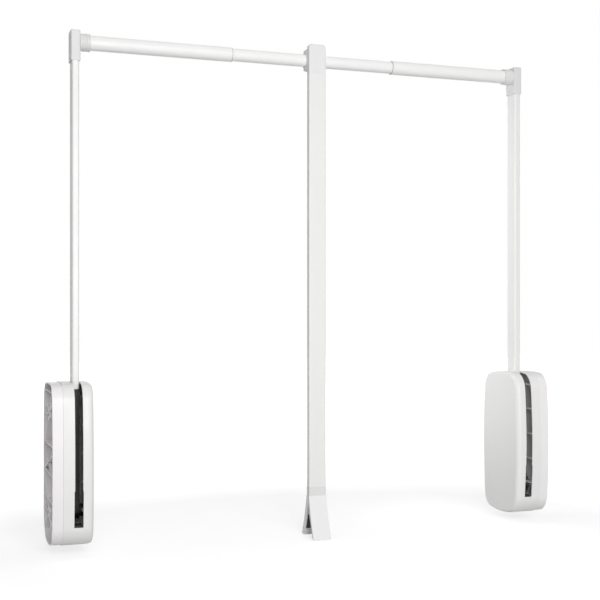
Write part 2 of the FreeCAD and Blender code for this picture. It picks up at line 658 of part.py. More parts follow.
def cover_screws():
    """The screws that hold the cover to the base, driven from the wall side."""
    screws = []
    for place in post_places():
        head = pin("head", "X", "post_head_radius", (f"{BASE_FLOOR} - post_head_height", BASE_FLOOR), place)
        shank = pin("shank", "X", "post_screw_radius", (BASE_FLOOR, f"{SEAM} + post_screw_grip"), place)
        screws.append(fuse("cover_screw", head, shank))
    return group("cover_screws", *screws)


def upright_stop_span(shelf):
    """Front-to-back and upright spans of the upright stop, or of the shelf behind it."""
    face = f"{ARM_FACE} + slide_gap"
    back = f"{face} + stop_thickness"
    deep = (back, f"{back} + stop_web") if shelf else (face, back)
    return deep, (UPRIGHT_STOP, f"{UPRIGHT_STOP} + upright_stop_height")


def lowered_stop_span(shelf):
    """Front-to-back and upright spans of the lowered stop, or of the shelf under it."""
    top = f"0 - {ARM_FACE} - lowered_stop_drop"
    bottom = f"{top} - stop_thickness"
    levels = (f"{bottom} - stop_web", bottom) if shelf else (bottom, top)
    return ("0 - lowered_stop_near - lowered_stop_length", "0 - lowered_stop_near"), levels


def upright_stop():
    """The rubber that the upright arm rests against."""
    return block("upright_stop", (f"0 - {ARM_SIDE}", ARM_SIDE), *upright_stop_span(False))


def lowered_stop():
    """The rubber that the lowered arm comes down on."""
    return block("lowered_stop", (f"0 - {ARM_SIDE}", ARM_SIDE), *lowered_stop_span(False))


def pivot_axle():
    return pin("pivot_axle", "X", "axle_radius", (f"{WALL} + axle_skin", f"{COVER_INSIDE} - 1"))


# ---------------------------------------------------------------- rack, spring and damper


def pinion():
    """The gear on the foot's barrel, with involute teeth. A tooth points straight back with the arm up."""
    teeth, module = round(value("pinion_teeth")), value("gear_module")
    pitch, pressure = value(PITCH_RADIUS), math.radians(20)
    base, tip, root = pitch * math.cos(pressure), pitch + module, pitch - 1.25 * module
    half_at_pitch = math.pi / (2 * teeth) - value("backlash") / (2 * pitch)
    involute = math.tan(pressure) - pressure
    steps = 4
    flank = []
    for step in range(steps + 1):
        radius = max(base, root) + (tip - max(base, root)) * step / steps
        angle = math.acos(min(1.0, base / radius))
        flank.append((radius, half_at_pitch + involute - (math.tan(angle) - angle)))
    points = []
    for tooth in range(teeth):
        middle = 2 * math.pi * tooth / teeth
        half_root = flank[0][1]
        profile = [(root, -half_root)] + [(radius, -half) for radius, half in flank]
        profile += [(radius, half) for radius, half in reversed(flank)] + [(root, half_root)]
        points += [(radius, middle + turn) for radius, turn in profile]
    outer = value(GEAR_OUTER)
    corners = [Vector(outer, radius * math.cos(turn), radius * math.sin(turn)) for radius, turn in points]
    face = Part.Face(Part.makePolygon(corners + corners[:1]))
    gear = face.extrude(Vector(value("gear_face"), 0, 0))
    bore = Part.makeCylinder(value("hub_radius"), value("gear_face"), Vector(outer, 0, 0), Vector(1, 0, 0))
    return made_of("pinion", gear.cut(bore))


def rack():
    """The toothed bar behind the pinion, with a crosshead on top that carries the spring and the damper's
    rod. It rises as the arm comes forward."""
    module, teeth = value("gear_module"), round(value("rack_teeth"))
    pitch_line, root, back = value(PITCH_RADIUS), value(RACK_ROOT), value(RACK_BACK)
    step, slope = math.pi * module, math.tan(math.radians(20))
    half = step / 4 - value("backlash") / 2
    tip = pitch_line - module
    points = []
    for tooth in range(teeth):
        middle = (1.5 - teeth + tooth) * step
        at_root, at_tip = half + (root - pitch_line) * slope, half - (pitch_line - tip) * slope
        points += [(root, middle - at_root), (tip, middle - at_tip)]
        points += [(tip, middle + at_tip), (root, middle + at_root)]
    bottom, top = points[0][1] - module / 2, value(CROSSHEAD_TOP)
    outline = [(back, bottom), (root, bottom)] + points + [(root, top), (back, top)]
    corners = [Vector(value(GEAR_OUTER), y, z) for y, z in outline]
    face = Part.Face(Part.makePolygon(corners + corners[:1]))
    bar = made_of("rack_bar", face.extrude(Vector(value("gear_face"), 0, 0)))
    crosshead = block(
        "crosshead", (GEAR_OUTER, GEAR_INNER),
        (f"{SPRING_AXIS} - crosshead_half", f"{SPRING_AXIS} + crosshead_half"),
        ("crosshead_rise", CROSSHEAD_TOP),
    )
    deep = (f"{CROSSHEAD_TOP} - damper_rod_seat", f"{CROSSHEAD_TOP} + 1")
    seat = pin("rod_seat", "Z", "damper_rod_radius", deep, (GEAR_MIDDLE, SPRING_AXIS))
    return cut("rack", fuse("rack_solid", bar, crosshead), seat)


def rack_guide():
    """The plastic angle on the base's floor that the rack slides along."""
    face, back = f"{GEAR_OUTER} - slide_gap", f"{RACK_BACK} + slide_gap"
    height = ("crosshead_rise - 1 - guide_length", "crosshead_rise - 1")
    floor = block("guide_floor", (SEAM, face), (RACK_ROOT, f"{back} + guide_wall"), height)
    wall = block("guide_back", (SEAM, GEAR_INNER), (back, f"{back} + guide_wall"), height)
    return fuse("rack_guide", floor, wall)


def lift_spring():
    """The coil spring between the crosshead and the base's shelf."""
    helix = DOCUMENT.addObject("Part::Helix", "spring_helix")
    bind(helix, "Radius", "spring_radius")
    bind(helix, "Height", f"{SPRING_TOP} - {CROSSHEAD_TOP} - spring_wire")
    bind(helix, "Pitch", f"({SPRING_TOP} - {CROSSHEAD_TOP} - spring_wire) / spring_turns")
    wire = DOCUMENT.addObject("Part::Circle", "spring_section")
    bind(wire, "Radius", "spring_wire / 2")
    wire.Placement = Placement(Vector(), TURNS["Y"])
    bind(wire, "Placement.Base.x", "spring_radius")
    spring = DOCUMENT.addObject("Part::Sweep", "lift_spring")
    spring.Sections = [wire]
    spring.Spine = (helix, [])
    spring.Solid = True
    spring.Frenet = True
    return spring, (GEAR_MIDDLE, SPRING_AXIS, f"{CROSSHEAD_TOP} + spring_wire / 2")


def damper_cylinder():
    """The damper's body inside the spring, held by a pin above the shelf."""
    centre = (GEAR_MIDDLE, SPRING_AXIS)
    foot, bore_foot = "damper_start", "damper_start + damper_gland"
    outside = pin("cylinder_outside", "Z", "damper_radius", (foot, DAMPER_TOP), centre)
    bore = pin("cylinder_bore", "Z", "damper_bore", (bore_foot, f"{DAMPER_TOP} - damper_head"), centre)
    way = "damper_rod_radius + running_gap"
    gland = pin("gland_hole", "Z", way, (f"{foot} - 1", f"{bore_foot} + 1"), centre)
    hole = pin("anchor_hole", "X", "anchor_pin_radius", (SEAM, f"{GEAR_INNER} + 1"), ANCHOR_PLACE)
    return cut("damper_cylinder", outside, bore, gland, hole)


def damper_rod():
    """The damper's rod, set in the crosshead, with its piston."""
    centre = (GEAR_MIDDLE, SPRING_AXIS)
    foot = "damper_start + damper_gland + piston_in"
    rod = pin("piston_rod", "Z", "damper_rod_radius", (f"{CROSSHEAD_TOP} - damper_rod_seat", foot), centre)
    piston = pin("piston", "Z", "damper_bore - running_gap", (foot, f"{foot} + piston_height"), centre)
    return fuse("damper_rod", rod, piston)


def damper_anchor_pin():
    return pin("damper_anchor_pin", "X", "anchor_pin_radius", (ANCHOR_FOOT, GEAR_INNER), ANCHOR_PLACE)


# ---------------------------------------------------------------- arm


def tube_tongue(body, name, middle, half_width, half_depth, corner, span):
    """A tongue with play round it in a tube whose inner half sizes and corner are given."""
    width, depth = f"({half_width} - socket_gap)", f"({half_depth} - socket_gap)"
    x = (f"{middle[0]} - {width}", f"{middle[0]} + {width}")
    y = (f"{middle[1]} - {depth}", f"{middle[1]} + {depth}")
    return rounded_block(body, name, "Z", span, x, y, corner)


def flat_tube(name, middle, half_width, half_depth, wall, corner, span):
    """A hollow tube of rounded rectangular section that stands upright."""
    body = new_body(name)
    for part, inset in (("outside", "0"), ("inside", wall)):
        width, depth = f"({half_width} - {inset})", f"({half_depth} - {inset})"
        x = (f"{middle[0]} - {width}", f"{middle[0]} + {width}")
        y = (f"{middle[1]} - {depth}", f"{middle[1]} + {depth}")
        rounded_block(body, f"{name}_{part}", "Z", span, x, y, f"{corner} - {inset}", part == "inside")
    return body


def foot_pin_holes(name):
    """The two pins, or their holes, through the arm tube and the foot's tongue."""
    heights = [f"{ARM_START} + tongue_length / 2 + {side} * foot_pin_spacing / 2" for side in (-1, 1)]
    across = (f"0 - {ARM_SIDE}", ARM_SIDE)
    return [pin(name, "X", "foot_pin_radius", across, ("0", height)) for height in heights]


def arm_foot():
    """The casting that is the lower part of the arm: a barrel on the axle, a bar as thick as the arm tube
    with a long pocket in each side, and a tongue in the tube."""
    body = new_body("foot_tongue")
    span = (ARM_START, f"{ARM_START} + tongue_length")
    inner = ("arm_thickness / 2 - arm_wall", "arm_depth / 2 - arm_wall")
    tube_tongue(body, "tongue", ("0", "0"), *inner, "arm_corner - arm_wall", span)
    side = (f"0 - {ARM_SIDE}", ARM_SIDE)
    barrel = pin("barrel", "X", "hub_radius", (HUB_OUTER, HUB_INNER))
    cheek = pin("cheek", "X", ARM_FACE, side)
    bar = block("foot_bar", side, (f"0 - {ARM_FACE}", ARM_FACE), ("0", ARM_START))
    bush = "axle_radius + running_gap + bush_wall"
    tools = [
        pin("outer_bush_bore", "X", bush, (HUB_OUTER, f"{HUB_OUTER} + bush_length")),
        pin("inner_bush_bore", "X", bush, (f"{HUB_INNER} - bush_length", HUB_INNER)),
        pin("axle_way", "X", "axle_radius + bush_wall / 2", (HUB_OUTER, HUB_INNER)),
    ]
    deep = (f"foot_rim - {ARM_FACE}", f"{ARM_FACE} - foot_rim")
    tall = (f"{ARM_FACE} + foot_rim", f"{ARM_START} - foot_rim")
    for pocket in ((f"0 - {ARM_SIDE} - 1", "0 - foot_web / 2"), ("foot_web / 2", f"{ARM_SIDE} + 1")):
        tools.append(block("foot_pocket", pocket, deep, tall))
    tools += foot_pin_holes("foot_pin_hole")
    return cut("arm_foot", fuse("foot_solid", body, barrel, cheek, bar), *tools)


def pivot_bushes():
    """A flanged bush in each end of the barrel."""
    bushes = []
    sleeve_radius = "axle_radius + running_gap + bush_wall"
    ends = (
        (f"{HUB_OUTER} - bush_flange", HUB_OUTER, HUB_OUTER, f"{HUB_OUTER} + bush_length"),
        (HUB_INNER, f"{HUB_INNER} + bush_flange", f"{HUB_INNER} - bush_length", HUB_INNER),
    )
    for flange_low, flange_high, low, high in ends:
        flange = pin("flange", "X", f"{sleeve_radius} + bush_flange_reach", (flange_low, flange_high))
        sleeve = pin("sleeve", "X", sleeve_radius, (low, high))
        bore = pin("bush_bore", "X", "axle_radius + running_gap", (f"{low} - 2", f"{high} + 2"))
        bushes.append(cut("bush", fuse("bush_solid", flange, sleeve), bore))
    return group("pivot_bushes", *bushes)


def arm_tube():
    """The steel arm, from the foot's shoulder to the bracket's socket."""
    span = (ARM_START, "rod_rise - bracket_below + bracket_socket - socket_gap")
    tube = flat_tube("arm_profile", ("0", "0"), ARM_SIDE, ARM_FACE, "arm_wall", "arm_corner", span)
    return cut("arm_tube", tube, *foot_pin_holes("tube_pin_hole"))


def foot_pins():
    return group("foot_pins", *foot_pin_holes("foot_pin"))


ROD_AXIS = ("0", "rod_rise")
SCREW_SEAT = f"(cap_recess - {ROD_SIDE})"


def rod_bracket():
    """The block on top of the arm, with a socket for the arm below and the rod's screw across."""
    body = new_body("bracket_body")
    bottom, top = "rod_rise - bracket_below", "rod_rise + bracket_above"
    x, y = ("0 - bracket_width / 2", "bracket_width / 2"), ("0 - bracket_depth / 2", "bracket_depth / 2")
    upright = rounded_block(body, "bracket_block", "Z", (bottom, top), x, y, "bracket_corner")
    round_edges(body, upright, "bracket_top", "bracket_corner / 2", edge_in_plane("Z", top))
    side, face = f"({ARM_SIDE} + socket_gap)", f"({ARM_FACE} + socket_gap)"
    x, y = (f"0 - {side}", side), (f"0 - {face}", face)
    rounded_block(body, "arm_socket", "Z", (bottom, f"{bottom} + bracket_socket"), x, y, "arm_corner", True)
    outer = f"0 - {ROD_SIDE}"
    hole = pin("rod_screw_hole", "X", "rod_screw_radius + socket_gap", (outer, ROD_SIDE), ROD_AXIS)
    recess = pin("cap_recess", "X", "cap_radius + socket_gap", (f"{outer} - 1", SCREW_SEAT), ROD_AXIS)
    return cut("rod_bracket", body, hole, recess)


def rod_plug():
    """The plug that the rod's screw draws into the end of the outer tube."""
    radius, end = "outer_tube_radius - tube_wall - socket_gap", f"{ROD_SIDE} + plug_length"
    solid = pin("plug_solid", "X", radius, (ROD_SIDE, end), ROD_AXIS)
    thread = (f"{ROD_SIDE} - 1", f"{SCREW_SEAT} + rod_screw_length")
    return cut("rod_plug", solid, pin("plug_thread", "X", "rod_screw_radius", thread, ROD_AXIS))


def rod_screw():
    ends = (f"{SCREW_SEAT} - rod_screw_head_height", f"{SCREW_SEAT} + rod_screw_length")
    head = pin("rod_screw_head", "X", "rod_screw_head_radius", (ends[0], SCREW_SEAT), ROD_AXIS)
    shank = pin("rod_screw_shank", "X", "rod_screw_radius", (SCREW_SEAT, ends[1]), ROD_AXIS)
    return fuse("rod_screw", head, shank)


def bracket_cap():
    """The round cap that hides the screw, a little proud of the bracket's outer side."""
    foot = f"{SCREW_SEAT} - rod_screw_head_height - socket_gap"
    return pin("bracket_cap", "X", "cap_radius", (f"{foot} - cap_height", foot), ROD_AXIS)


def rod_collar():
    """The ribbed plastic collar round the end of the rod."""
    end = f"{ROD_SIDE} + collar_length"
    solid = pin("collar_solid", "X", "collar_radius", (ROD_SIDE, end), ROD_AXIS)
    ribs = []
    for share in (0.0, 0.3, 0.5, 0.7, 1.0):
        low = f"{ROD_SIDE} + {share} * (collar_length - collar_rib_width)"
        span = (low, f"{low} + collar_rib_width")
        ribs.append(pin("collar_rib", "X", "collar_radius + collar_rib", span, ROD_AXIS))
    bore = pin("collar_bore", "X", "outer_tube_radius", (f"{ROD_SIDE} - 1", f"{end} + 1"), ROD_AXIS)
    return cut("rod_collar", fuse("collar_ribbed", solid, *ribs), bore)


def outer_tube(side):
    """An outer tube of the hanging rod. The two sides differ in length alone."""
    end = f"{ROD_SIDE} + {side}_tube_length"
    outside = pin("outer_tube_outside", "X", "outer_tube_radius", (ROD_SIDE, end), ROD_AXIS)
    bore = "outer_tube_radius - tube_wall"
    inside = pin("outer_tube_inside", "X", bore, (f"{ROD_SIDE} - 1", f"{end} + 1"), ROD_AXIS)
    return cut("outer_tube", outside, inside)


def tube_glide(side):
    """The thin plastic sleeve in an outer tube's mouth, which the centre tube slides in."""
    end = f"{ROD_SIDE} + {side}_tube_length"
    start, lip_end = f"{end} - glide_length", f"{end} + glide_lip"
    sleeve = pin("glide_sleeve", "X", "outer_tube_radius - tube_wall", (start, end), ROD_AXIS)
    lip = pin("glide_mouth", "X", "outer_tube_radius", (end, lip_end), ROD_AXIS)
    way = "centre_tube_radius + running_gap"
    bore = pin("glide_bore", "X", way, (f"{start} - 1", f"{lip_end} + 1"), ROD_AXIS)
    return cut("tube_glide", fuse("glide_solid", sleeve, lip), bore)


# ---------------------------------------------------------------- centre tube and handle, about the rod

BAR_SIDE = "(bar_width / 2)"
BAR_FRONT = "(0 - bar_back - bar_thickness)"
BAR_BACK = "(0 - bar_back)"
BAR_MIDDLE = "(0 - bar_back - bar_thickness / 2)"
HEAD_BOTTOM = "(0 - head_below)"
BAR_BOTTOM = "(0 - head_below - bar_length)"
BLOCK_BOTTOM = "(0 - head_below - bar_length - grip_block)"
RING_BORE = "(centre_tube_radius + running_gap)"
RING_RADIUS = "(centre_tube_radius + running_gap + ring_wall)"
GRIP_SCREW_SEAT = "(0 - bar_back - clamp_screw_head_height / 2)"


def centre_tube():
    half = "centre_tube_length / 2"
    outside = pin("centre_outside", "X", "centre_tube_radius", (f"0 - {half}", half))
    inside = pin("centre_inside", "X", "centre_tube_radius - tube_wall", (f"0 - {half} - 1", f"{half} + 1"))
    return cut("centre_tube", outside, inside)


def clamp_screw_places():
    """Where the clamp's screws pass through its ears, as pairs of expressions across and up."""
    return [
        (f"{side} * clamp_screw_spacing / 2", f"{high} * (centre_tube_radius + ring_wall + ear_reach / 3)")
        for side in (-1, 1)
        for high in (-1, 1)
    ]


def clamp_half(name, y, ear_depth):
    """Half of the ring round the centre tube, with its ears. y is the span that this half keeps."""
    across = (f"0 - {BAR_SIDE}", BAR_SIDE)
    tall = (f"0 - {RING_BORE} - ear_reach", f"{RING_BORE} + ear_reach")
    ring = pin(name + "_ring", "X", RING_RADIUS, across)
    ears = block(name + "_ears", across, ear_depth, tall)
    kept = block(name + "_kept", across, y, tall)
    half = DOCUMENT.addObject("Part::MultiCommon", name)
    half.Shapes = [fuse(name + "_solid", ring, ears), kept]
    return half


def bar_plug(name, span):
    """A plug in one end of the pull bar."""
    body = new_body(name + "_body")
    inner = ("bar_width / 2 - bar_wall", "bar_thickness / 2 - bar_wall")
    tube_tongue(body, name, ("0", BAR_MIDDLE), *inner, "bar_corner - bar_wall", span)
    return body


def handle_head():
    """The head of the pull bar: a block in front of the rod, the front half of the clamp, and a plug in
    the bar."""
    body = new_body("head_body")
    x, z = (f"0 - {BAR_SIDE}", BAR_SIDE), (HEAD_BOTTOM, "head_above")
    corners = (None, None, "head_corner", "head_corner")
    rounded_block(body, "head_block", "Y", (BAR_FRONT, BAR_BACK), x, z, corners)
    plug = bar_plug("head_plug", (f"{HEAD_BOTTOM} - bar_plug", HEAD_BOTTOM))
    front = (f"{BAR_BACK} - 1", "0 - ring_split")
    clamp = clamp_half("front_clamp", front, front)
    bore = pin("head_ring_bore", "X", RING_BORE, (f"0 - {BAR_SIDE} - 1", f"{BAR_SIDE} + 1"))
    threads = [
        pin("clamp_thread", "Y", "clamp_screw_radius", ("0 - clamp_screw_grip", "1"), place)
        for place in clamp_screw_places()
    ]
    return cut("handle_head", fuse("head_solid", body, plug, clamp), bore, *threads)


def handle_clamp_back():
    """The back half of the clamp, which closes the ring round the centre tube."""
    clamp = clamp_half("back_clamp", ("ring_split", RING_RADIUS), ("ring_split", "ear_thickness"))
    bore = pin("back_ring_bore", "X", RING_BORE, (f"0 - {BAR_SIDE} - 1", f"{BAR_SIDE} + 1"))
    holes = [
        pin("clamp_hole", "Y", "clamp_screw_radius + screw_gap", ("0 - 1", "ear_thickness + 1"), place)
        for place in clamp_screw_places()
    ]
    return cut("handle_clamp_back", clamp, bore, *holes)


def clamp_screws():
    screws = []
    for place in clamp_screw_places():
        seat, top = "ear_thickness", "ear_thickness + clamp_screw_head_height"
        head = pin("clamp_head", "Y", "clamp_screw_head", (seat, top), place)
        shank = pin("clamp_shank", "Y", "clamp_screw_radius", ("0 - clamp_screw_grip", seat), place)
        screws.append(fuse("clamp_screw", head, shank))
    return group("clamp_screws", *screws)


def pull_bar():
    """The hollow bar that hangs from the rod."""
    return flat_tube(
        "pull_bar", ("0", BAR_MIDDLE), "bar_width / 2", "bar_thickness / 2", "bar_wall", "bar_corner",
        (BAR_BOTTOM, HEAD_BOTTOM),
    )


def grip_screw_places():
    return [(f"{side} * grip_screw_spacing / 2", f"{BLOCK_BOTTOM} - grip_screw_drop") for side in (-1, 1)]


def grip_core():
    """The block between bar and legs, with a plug in the bar above and a tongue between the legs below."""
    plug = bar_plug("core_plug", (BAR_BOTTOM, f"{BAR_BOTTOM} + bar_plug"))
    body = new_body("core_block_body")
    x, y = (f"0 - {BAR_SIDE}", BAR_SIDE), (BAR_FRONT, BAR_BACK)
    rounded_block(body, "core_block", "Z", (BLOCK_BOTTOM, BAR_BOTTOM), x, y, "bar_corner / 2")
    tongue = block(
        "core_tongue", (f"leg_rim - {BAR_SIDE}", f"{BAR_SIDE} - leg_rim"),
        (f"{BAR_MIDDLE} - tongue_half", f"{BAR_MIDDLE} + tongue_half"),
        (f"{BLOCK_BOTTOM} - grip_tongue", BLOCK_BOTTOM),
    )
    holes = [
        pin("core_hole", "Y", "clamp_screw_radius + screw_gap", (BAR_FRONT, BAR_BACK), place)
        for place in grip_screw_places()
    ]
    return cut("grip_core", fuse("core_solid", plug, body, tongue), *holes)


def leg_outline(skin, rim_top, rim_bottom, through):
    """The side view of the front leg, or of its hollow when drawn in by a skin and a rim. through carries
    the hollow out past the leg's inner face."""
    top, bottom = f"{BLOCK_BOTTOM} - {rim_top}", f"{BLOCK_BOTTOM} - leg_length + {rim_bottom}"
    near = f"{BAR_MIDDLE} - tongue_half - socket_gap + {through}"
    return [
        (f"{BAR_FRONT} + {skin}", top),
        (f"{BAR_MIDDLE} - leg_spread + {skin}", bottom),
        (f"{BAR_MIDDLE} - leg_spread + leg_thickness + {through}", bottom),
        (near, f"{BLOCK_BOTTOM} - leg_hollow_top"),
        (near, top),
    ]


def front_leg_body():
    """The front leg: a curved shell, hollow on the side that faces the other leg."""
    body = new_body("leg_body")
    half = "leg_width / 2"
    curves = {0: ("leg_curve", -1), 2: ("leg_curve", 1)}
    leg = extrude(body, "leg_solid", "X", (f"0 - {half}", half), leg_outline("0", "0", "0", "0"), curves)
    bottom = f"{BLOCK_BOTTOM} - leg_length"
    round_edges(body, leg, "leg_feet", "leg_corner", edge_through(x=[f"0 - {half}", half], z=[bottom]))
    hollow = leg_outline("leg_skin", "leg_hollow_top", "leg_rim", "4 * leg_thickness")
    hollow.pop()
    inner = (f"leg_rim - {half}", f"{half} - leg_rim")
    extrude(body, "leg_hollow", "X", inner, hollow, {0: ("leg_curve", -1)}, True)
    return body


def grip_front_leg():
    """The front leg, with blind threads for the grip's screws."""
    threads = [
        pin("leg_thread", "Y", "clamp_screw_radius", (f"{BAR_FRONT} + leg_skin", BAR_MIDDLE), place)
        for place in grip_screw_places()
    ]
    return cut("grip_front_leg", front_leg_body(), *threads)


def grip_back_leg():
    """The back leg, a mirror image of the front one, with sunk holes for the screws' heads."""
    body = front_leg_body()
    other = DOCUMENT.addObject("Part::Mirroring", "back_leg_solid")
    other.Source = body
    other.Normal = (0, 1, 0)
    bind(other, "Base.y", BAR_MIDDLE)
    holes = []
    past_leg = f"{BAR_BACK} + leg_spread"
    for place in grip_screw_places():
        holes.append(pin("leg_hole", "Y", "clamp_screw_radius + screw_gap", (BAR_MIDDLE, past_leg), place))
        holes.append(pin("leg_seat", "Y", "clamp_screw_head + screw_gap", (GRIP_SCREW_SEAT, past_leg), place))
    return cut("grip_back_leg", other, *holes)


def grip_screws():
    screws = []
    ends = (f"{BAR_FRONT} + leg_skin", f"{GRIP_SCREW_SEAT} + clamp_screw_head_height")
    for place in grip_screw_places():
        head = pin("grip_head", "Y", "clamp_screw_head", (GRIP_SCREW_SEAT, ends[1]), place)
        shank = pin("grip_shank", "Y", "clamp_screw_radius", (ends[0], GRIP_SCREW_SEAT), place)
        screws.append(fuse("grip_screw", head, shank))
    return group("grip_screws", *screws)


# ---------------------------------------------------------------- assembly

PIVOT = ("wall_to_arm", ARM_PLANE, PIVOT_Z)
ROD_CENTRE = ("overall_width / 2 + centre_shift", ARM_PLANE, f"{PIVOT_Z} + rod_rise")

# Pieces that are the same on both sides, and those whose length depends on the side
SIDE_PIECES = [
    base_housing, cover_shell, cover_screws, pivot_axle, upright_stop, lowered_stop,
    rack_guide, rack, lift_spring, damper_cylinder, damper_rod, damper_anchor_pin,
    arm_foot, pinion, pivot_bushes, foot_pins, arm_tube,
    rod_bracket, rod_plug, rod_screw, bracket_cap, rod_collar,
]
TUBE_PIECES = [outer_tube, tube_glide]
CENTRE_PIECES = [
    centre_tube, handle_head, handle_clamp_back, clamp_screws, pull_bar,
    grip_core, grip_front_leg, grip_back_leg, grip_screws,
]


def place(piece, label, origin):
    """Names a sub-part and puts it where its origin belongs. A plain pin or block keeps its own place."""
    if piece.TypeId in ("Part::Box", "Part::Cylinder"):
        piece = group(label, piece)
    piece.Label = label
    for axis, expression in zip("xyz", origin):
        bind(piece, f"Placement.Base.{axis}", expression)
    return piece


def mirrored(piece, label):
    """The right-hand twin of a left-hand sub-part."""
    twin = DOCUMENT.addObject("Part::Mirroring", label)
    twin.Source = piece
    twin.Normal = (1, 0, 0)
    bind(twin, "Base.x", "overall_width / 2")
    twin.Label = label
    return twin


def placed_side_piece(build):
    """A left-hand sub-part. One made about an origin of its own says where that lies from the pivot."""
    made = build()
    piece, offset = made if isinstance(made, tuple) else (made, ("0", "0", "0"))
    origin = [f"{start} + {step}" for start, step in zip(PIVOT, offset)]
    return place(piece, "left_" + build.__name__, origin)


def assemble():
    """Every sub-part of the rod, in the order in which it is put together."""
    pieces = []
    for build in SIDE_PIECES:
        left = placed_side_piece(build)
        pieces += [left, mirrored(left, "right_" + build.__name__)]
    for build in TUBE_PIECES:
        pieces.append(place(build("left"), "left_" + build.__name__, PIVOT))
        blank = place(build("right"), "right_" + build.__name__ + "_blank", PIVOT)
        pieces.append(mirrored(blank, "right_" + build.__name__))
    for build in CENTRE_PIECES:
        pieces.append(place(build(), build.__name__, ROD_CENTRE))
    DOCUMENT.recompute()
    return pieces


def check(pieces):
    """Stops on a failed object, a pocket that cuts nothing, or a sub-part that is broken or misnamed."""
    for thing in DOCUMENT.Objects:
        if {"Invalid", "Error"} & set(thing.State):
            raise RuntimeError(f"{thing.Label} failed: {thing.State}")
        is_pocket = thing.TypeId == "PartDesign::Pocket"
        if is_pocket and thing.Shape.Volume > thing.BaseFeature.Shape.Volume - NEAR:
            raise RuntimeError(f"{thing.Label} cuts nothing")
    for piece in pieces:
        if piece.Shape.isNull() or not piece.Shape.isValid() or not piece.Shape.Solids:
            raise RuntimeError(f"{piece.Label} has no valid shape")
    if len({piece.Label for piece in pieces}) != len(pieces):
        raise RuntimeError("two sub-parts share a name")


def export(pieces):
    os.makedirs("parts", exist_ok=True)
    for piece in pieces:
        piece.Shape.exportStep(f"parts/{piece.Label}.step")
    print(len(pieces), "sub-parts written")


fill_sheet()
PIECES = assemble()
check(PIECES)
export(PIECES)
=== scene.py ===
import json
import math

import bmesh
import bpy
from bpy.props import FloatProperty, FloatVectorProperty, IntProperty, PointerProperty
from bpy.types import Operator, Panel, PropertyGroup
from mathutils import Matrix, Vector

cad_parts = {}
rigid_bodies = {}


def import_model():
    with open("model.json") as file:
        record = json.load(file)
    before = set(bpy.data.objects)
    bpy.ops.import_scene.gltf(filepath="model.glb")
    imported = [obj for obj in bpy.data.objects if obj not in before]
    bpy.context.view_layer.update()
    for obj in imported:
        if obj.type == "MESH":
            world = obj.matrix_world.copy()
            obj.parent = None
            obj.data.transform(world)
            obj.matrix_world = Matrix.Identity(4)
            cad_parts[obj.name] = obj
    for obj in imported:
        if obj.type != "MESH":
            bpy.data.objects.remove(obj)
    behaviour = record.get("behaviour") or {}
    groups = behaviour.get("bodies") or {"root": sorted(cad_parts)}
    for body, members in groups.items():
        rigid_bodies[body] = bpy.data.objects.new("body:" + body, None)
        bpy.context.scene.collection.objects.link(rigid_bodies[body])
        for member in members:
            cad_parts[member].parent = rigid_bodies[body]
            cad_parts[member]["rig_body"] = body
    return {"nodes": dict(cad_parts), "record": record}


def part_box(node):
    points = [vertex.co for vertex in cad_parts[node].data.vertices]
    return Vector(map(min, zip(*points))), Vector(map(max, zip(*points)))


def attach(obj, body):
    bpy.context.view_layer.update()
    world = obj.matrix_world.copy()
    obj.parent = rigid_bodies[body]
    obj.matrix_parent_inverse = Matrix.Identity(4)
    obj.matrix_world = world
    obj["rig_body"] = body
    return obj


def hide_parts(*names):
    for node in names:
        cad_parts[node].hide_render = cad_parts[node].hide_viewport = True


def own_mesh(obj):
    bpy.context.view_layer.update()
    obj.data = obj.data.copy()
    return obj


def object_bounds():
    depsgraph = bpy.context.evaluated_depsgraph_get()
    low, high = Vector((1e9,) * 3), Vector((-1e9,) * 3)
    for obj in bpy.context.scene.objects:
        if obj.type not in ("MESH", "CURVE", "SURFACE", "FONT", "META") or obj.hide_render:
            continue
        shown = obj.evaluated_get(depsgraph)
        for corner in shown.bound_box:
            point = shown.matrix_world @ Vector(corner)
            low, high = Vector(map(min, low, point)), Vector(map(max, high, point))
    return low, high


bl_info = {
    "name": "Pull-down closet rod",
    "version": (1, 0, 0),
    "blender": (4, 5, 0),
    "location": "View3D > Sidebar > Closet Rod",
    "description": "Dresses a pull-down wardrobe rod: side boxes, arms, hanging rod, pull bar and finishes",
    "category": "Mesh",
}

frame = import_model()
CAD_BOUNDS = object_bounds()

MM = 0.001
# Places nearer to each other than this are one place
TINY = 1e-6
# How far ribs and rims are rounded, and the chamfer of bosses, sleeves and ears
FINE, BROKEN = 0.25 * MM, 0.4 * MM
# Between the centre tube and what runs or sits on it
RUNNING_GAP = 0.05 * MM
# Edges that turn by more than this are shaded as edges
SHARP_ANGLE = math.radians(38)
SIDES = ("left", "right")
X, Y, Z = Vector((1, 0, 0)), Vector((0, 1, 0)), Vector((0, 0, 1))
MIDDLE_X = (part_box("left_base_housing")[0].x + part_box("right_base_housing")[1].x) / 2
COVER_LOW, COVER_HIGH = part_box("left_cover_shell")
SLOTS = {part["node"]: part["material_slot"] for part in frame["record"]["subparts"]}

# Levels of the cross ribs in a cover, as shares of its height from its bottom
COVER_RIBS = (0.21, 0.385, 0.565, 0.745, 0.92)
# The same for the level ribs on a base, from its middle
BASE_RIBS = (-0.235, -0.06, 0.12, 0.455)
# And for the ends of its slanting ribs and its cross
SLANT_END, CROSS_END = 0.06, 0.08
# Places of the collar's ribs, as shares of its length
COLLAR_RIBS = (0.0, 0.3, 0.5, 0.7, 1.0)


# ---------------------------------------------------------------- sizes and colours


def linear(code):
    """The linear colour of an sRGB hex value."""
    shares = [int(code[place:place + 2], 16) / 255 for place in (0, 2, 4)]
    return tuple(s / 12.92 if s <= 0.04045 else ((s + 0.055) / 1.055) ** 2.4 for s in shares)


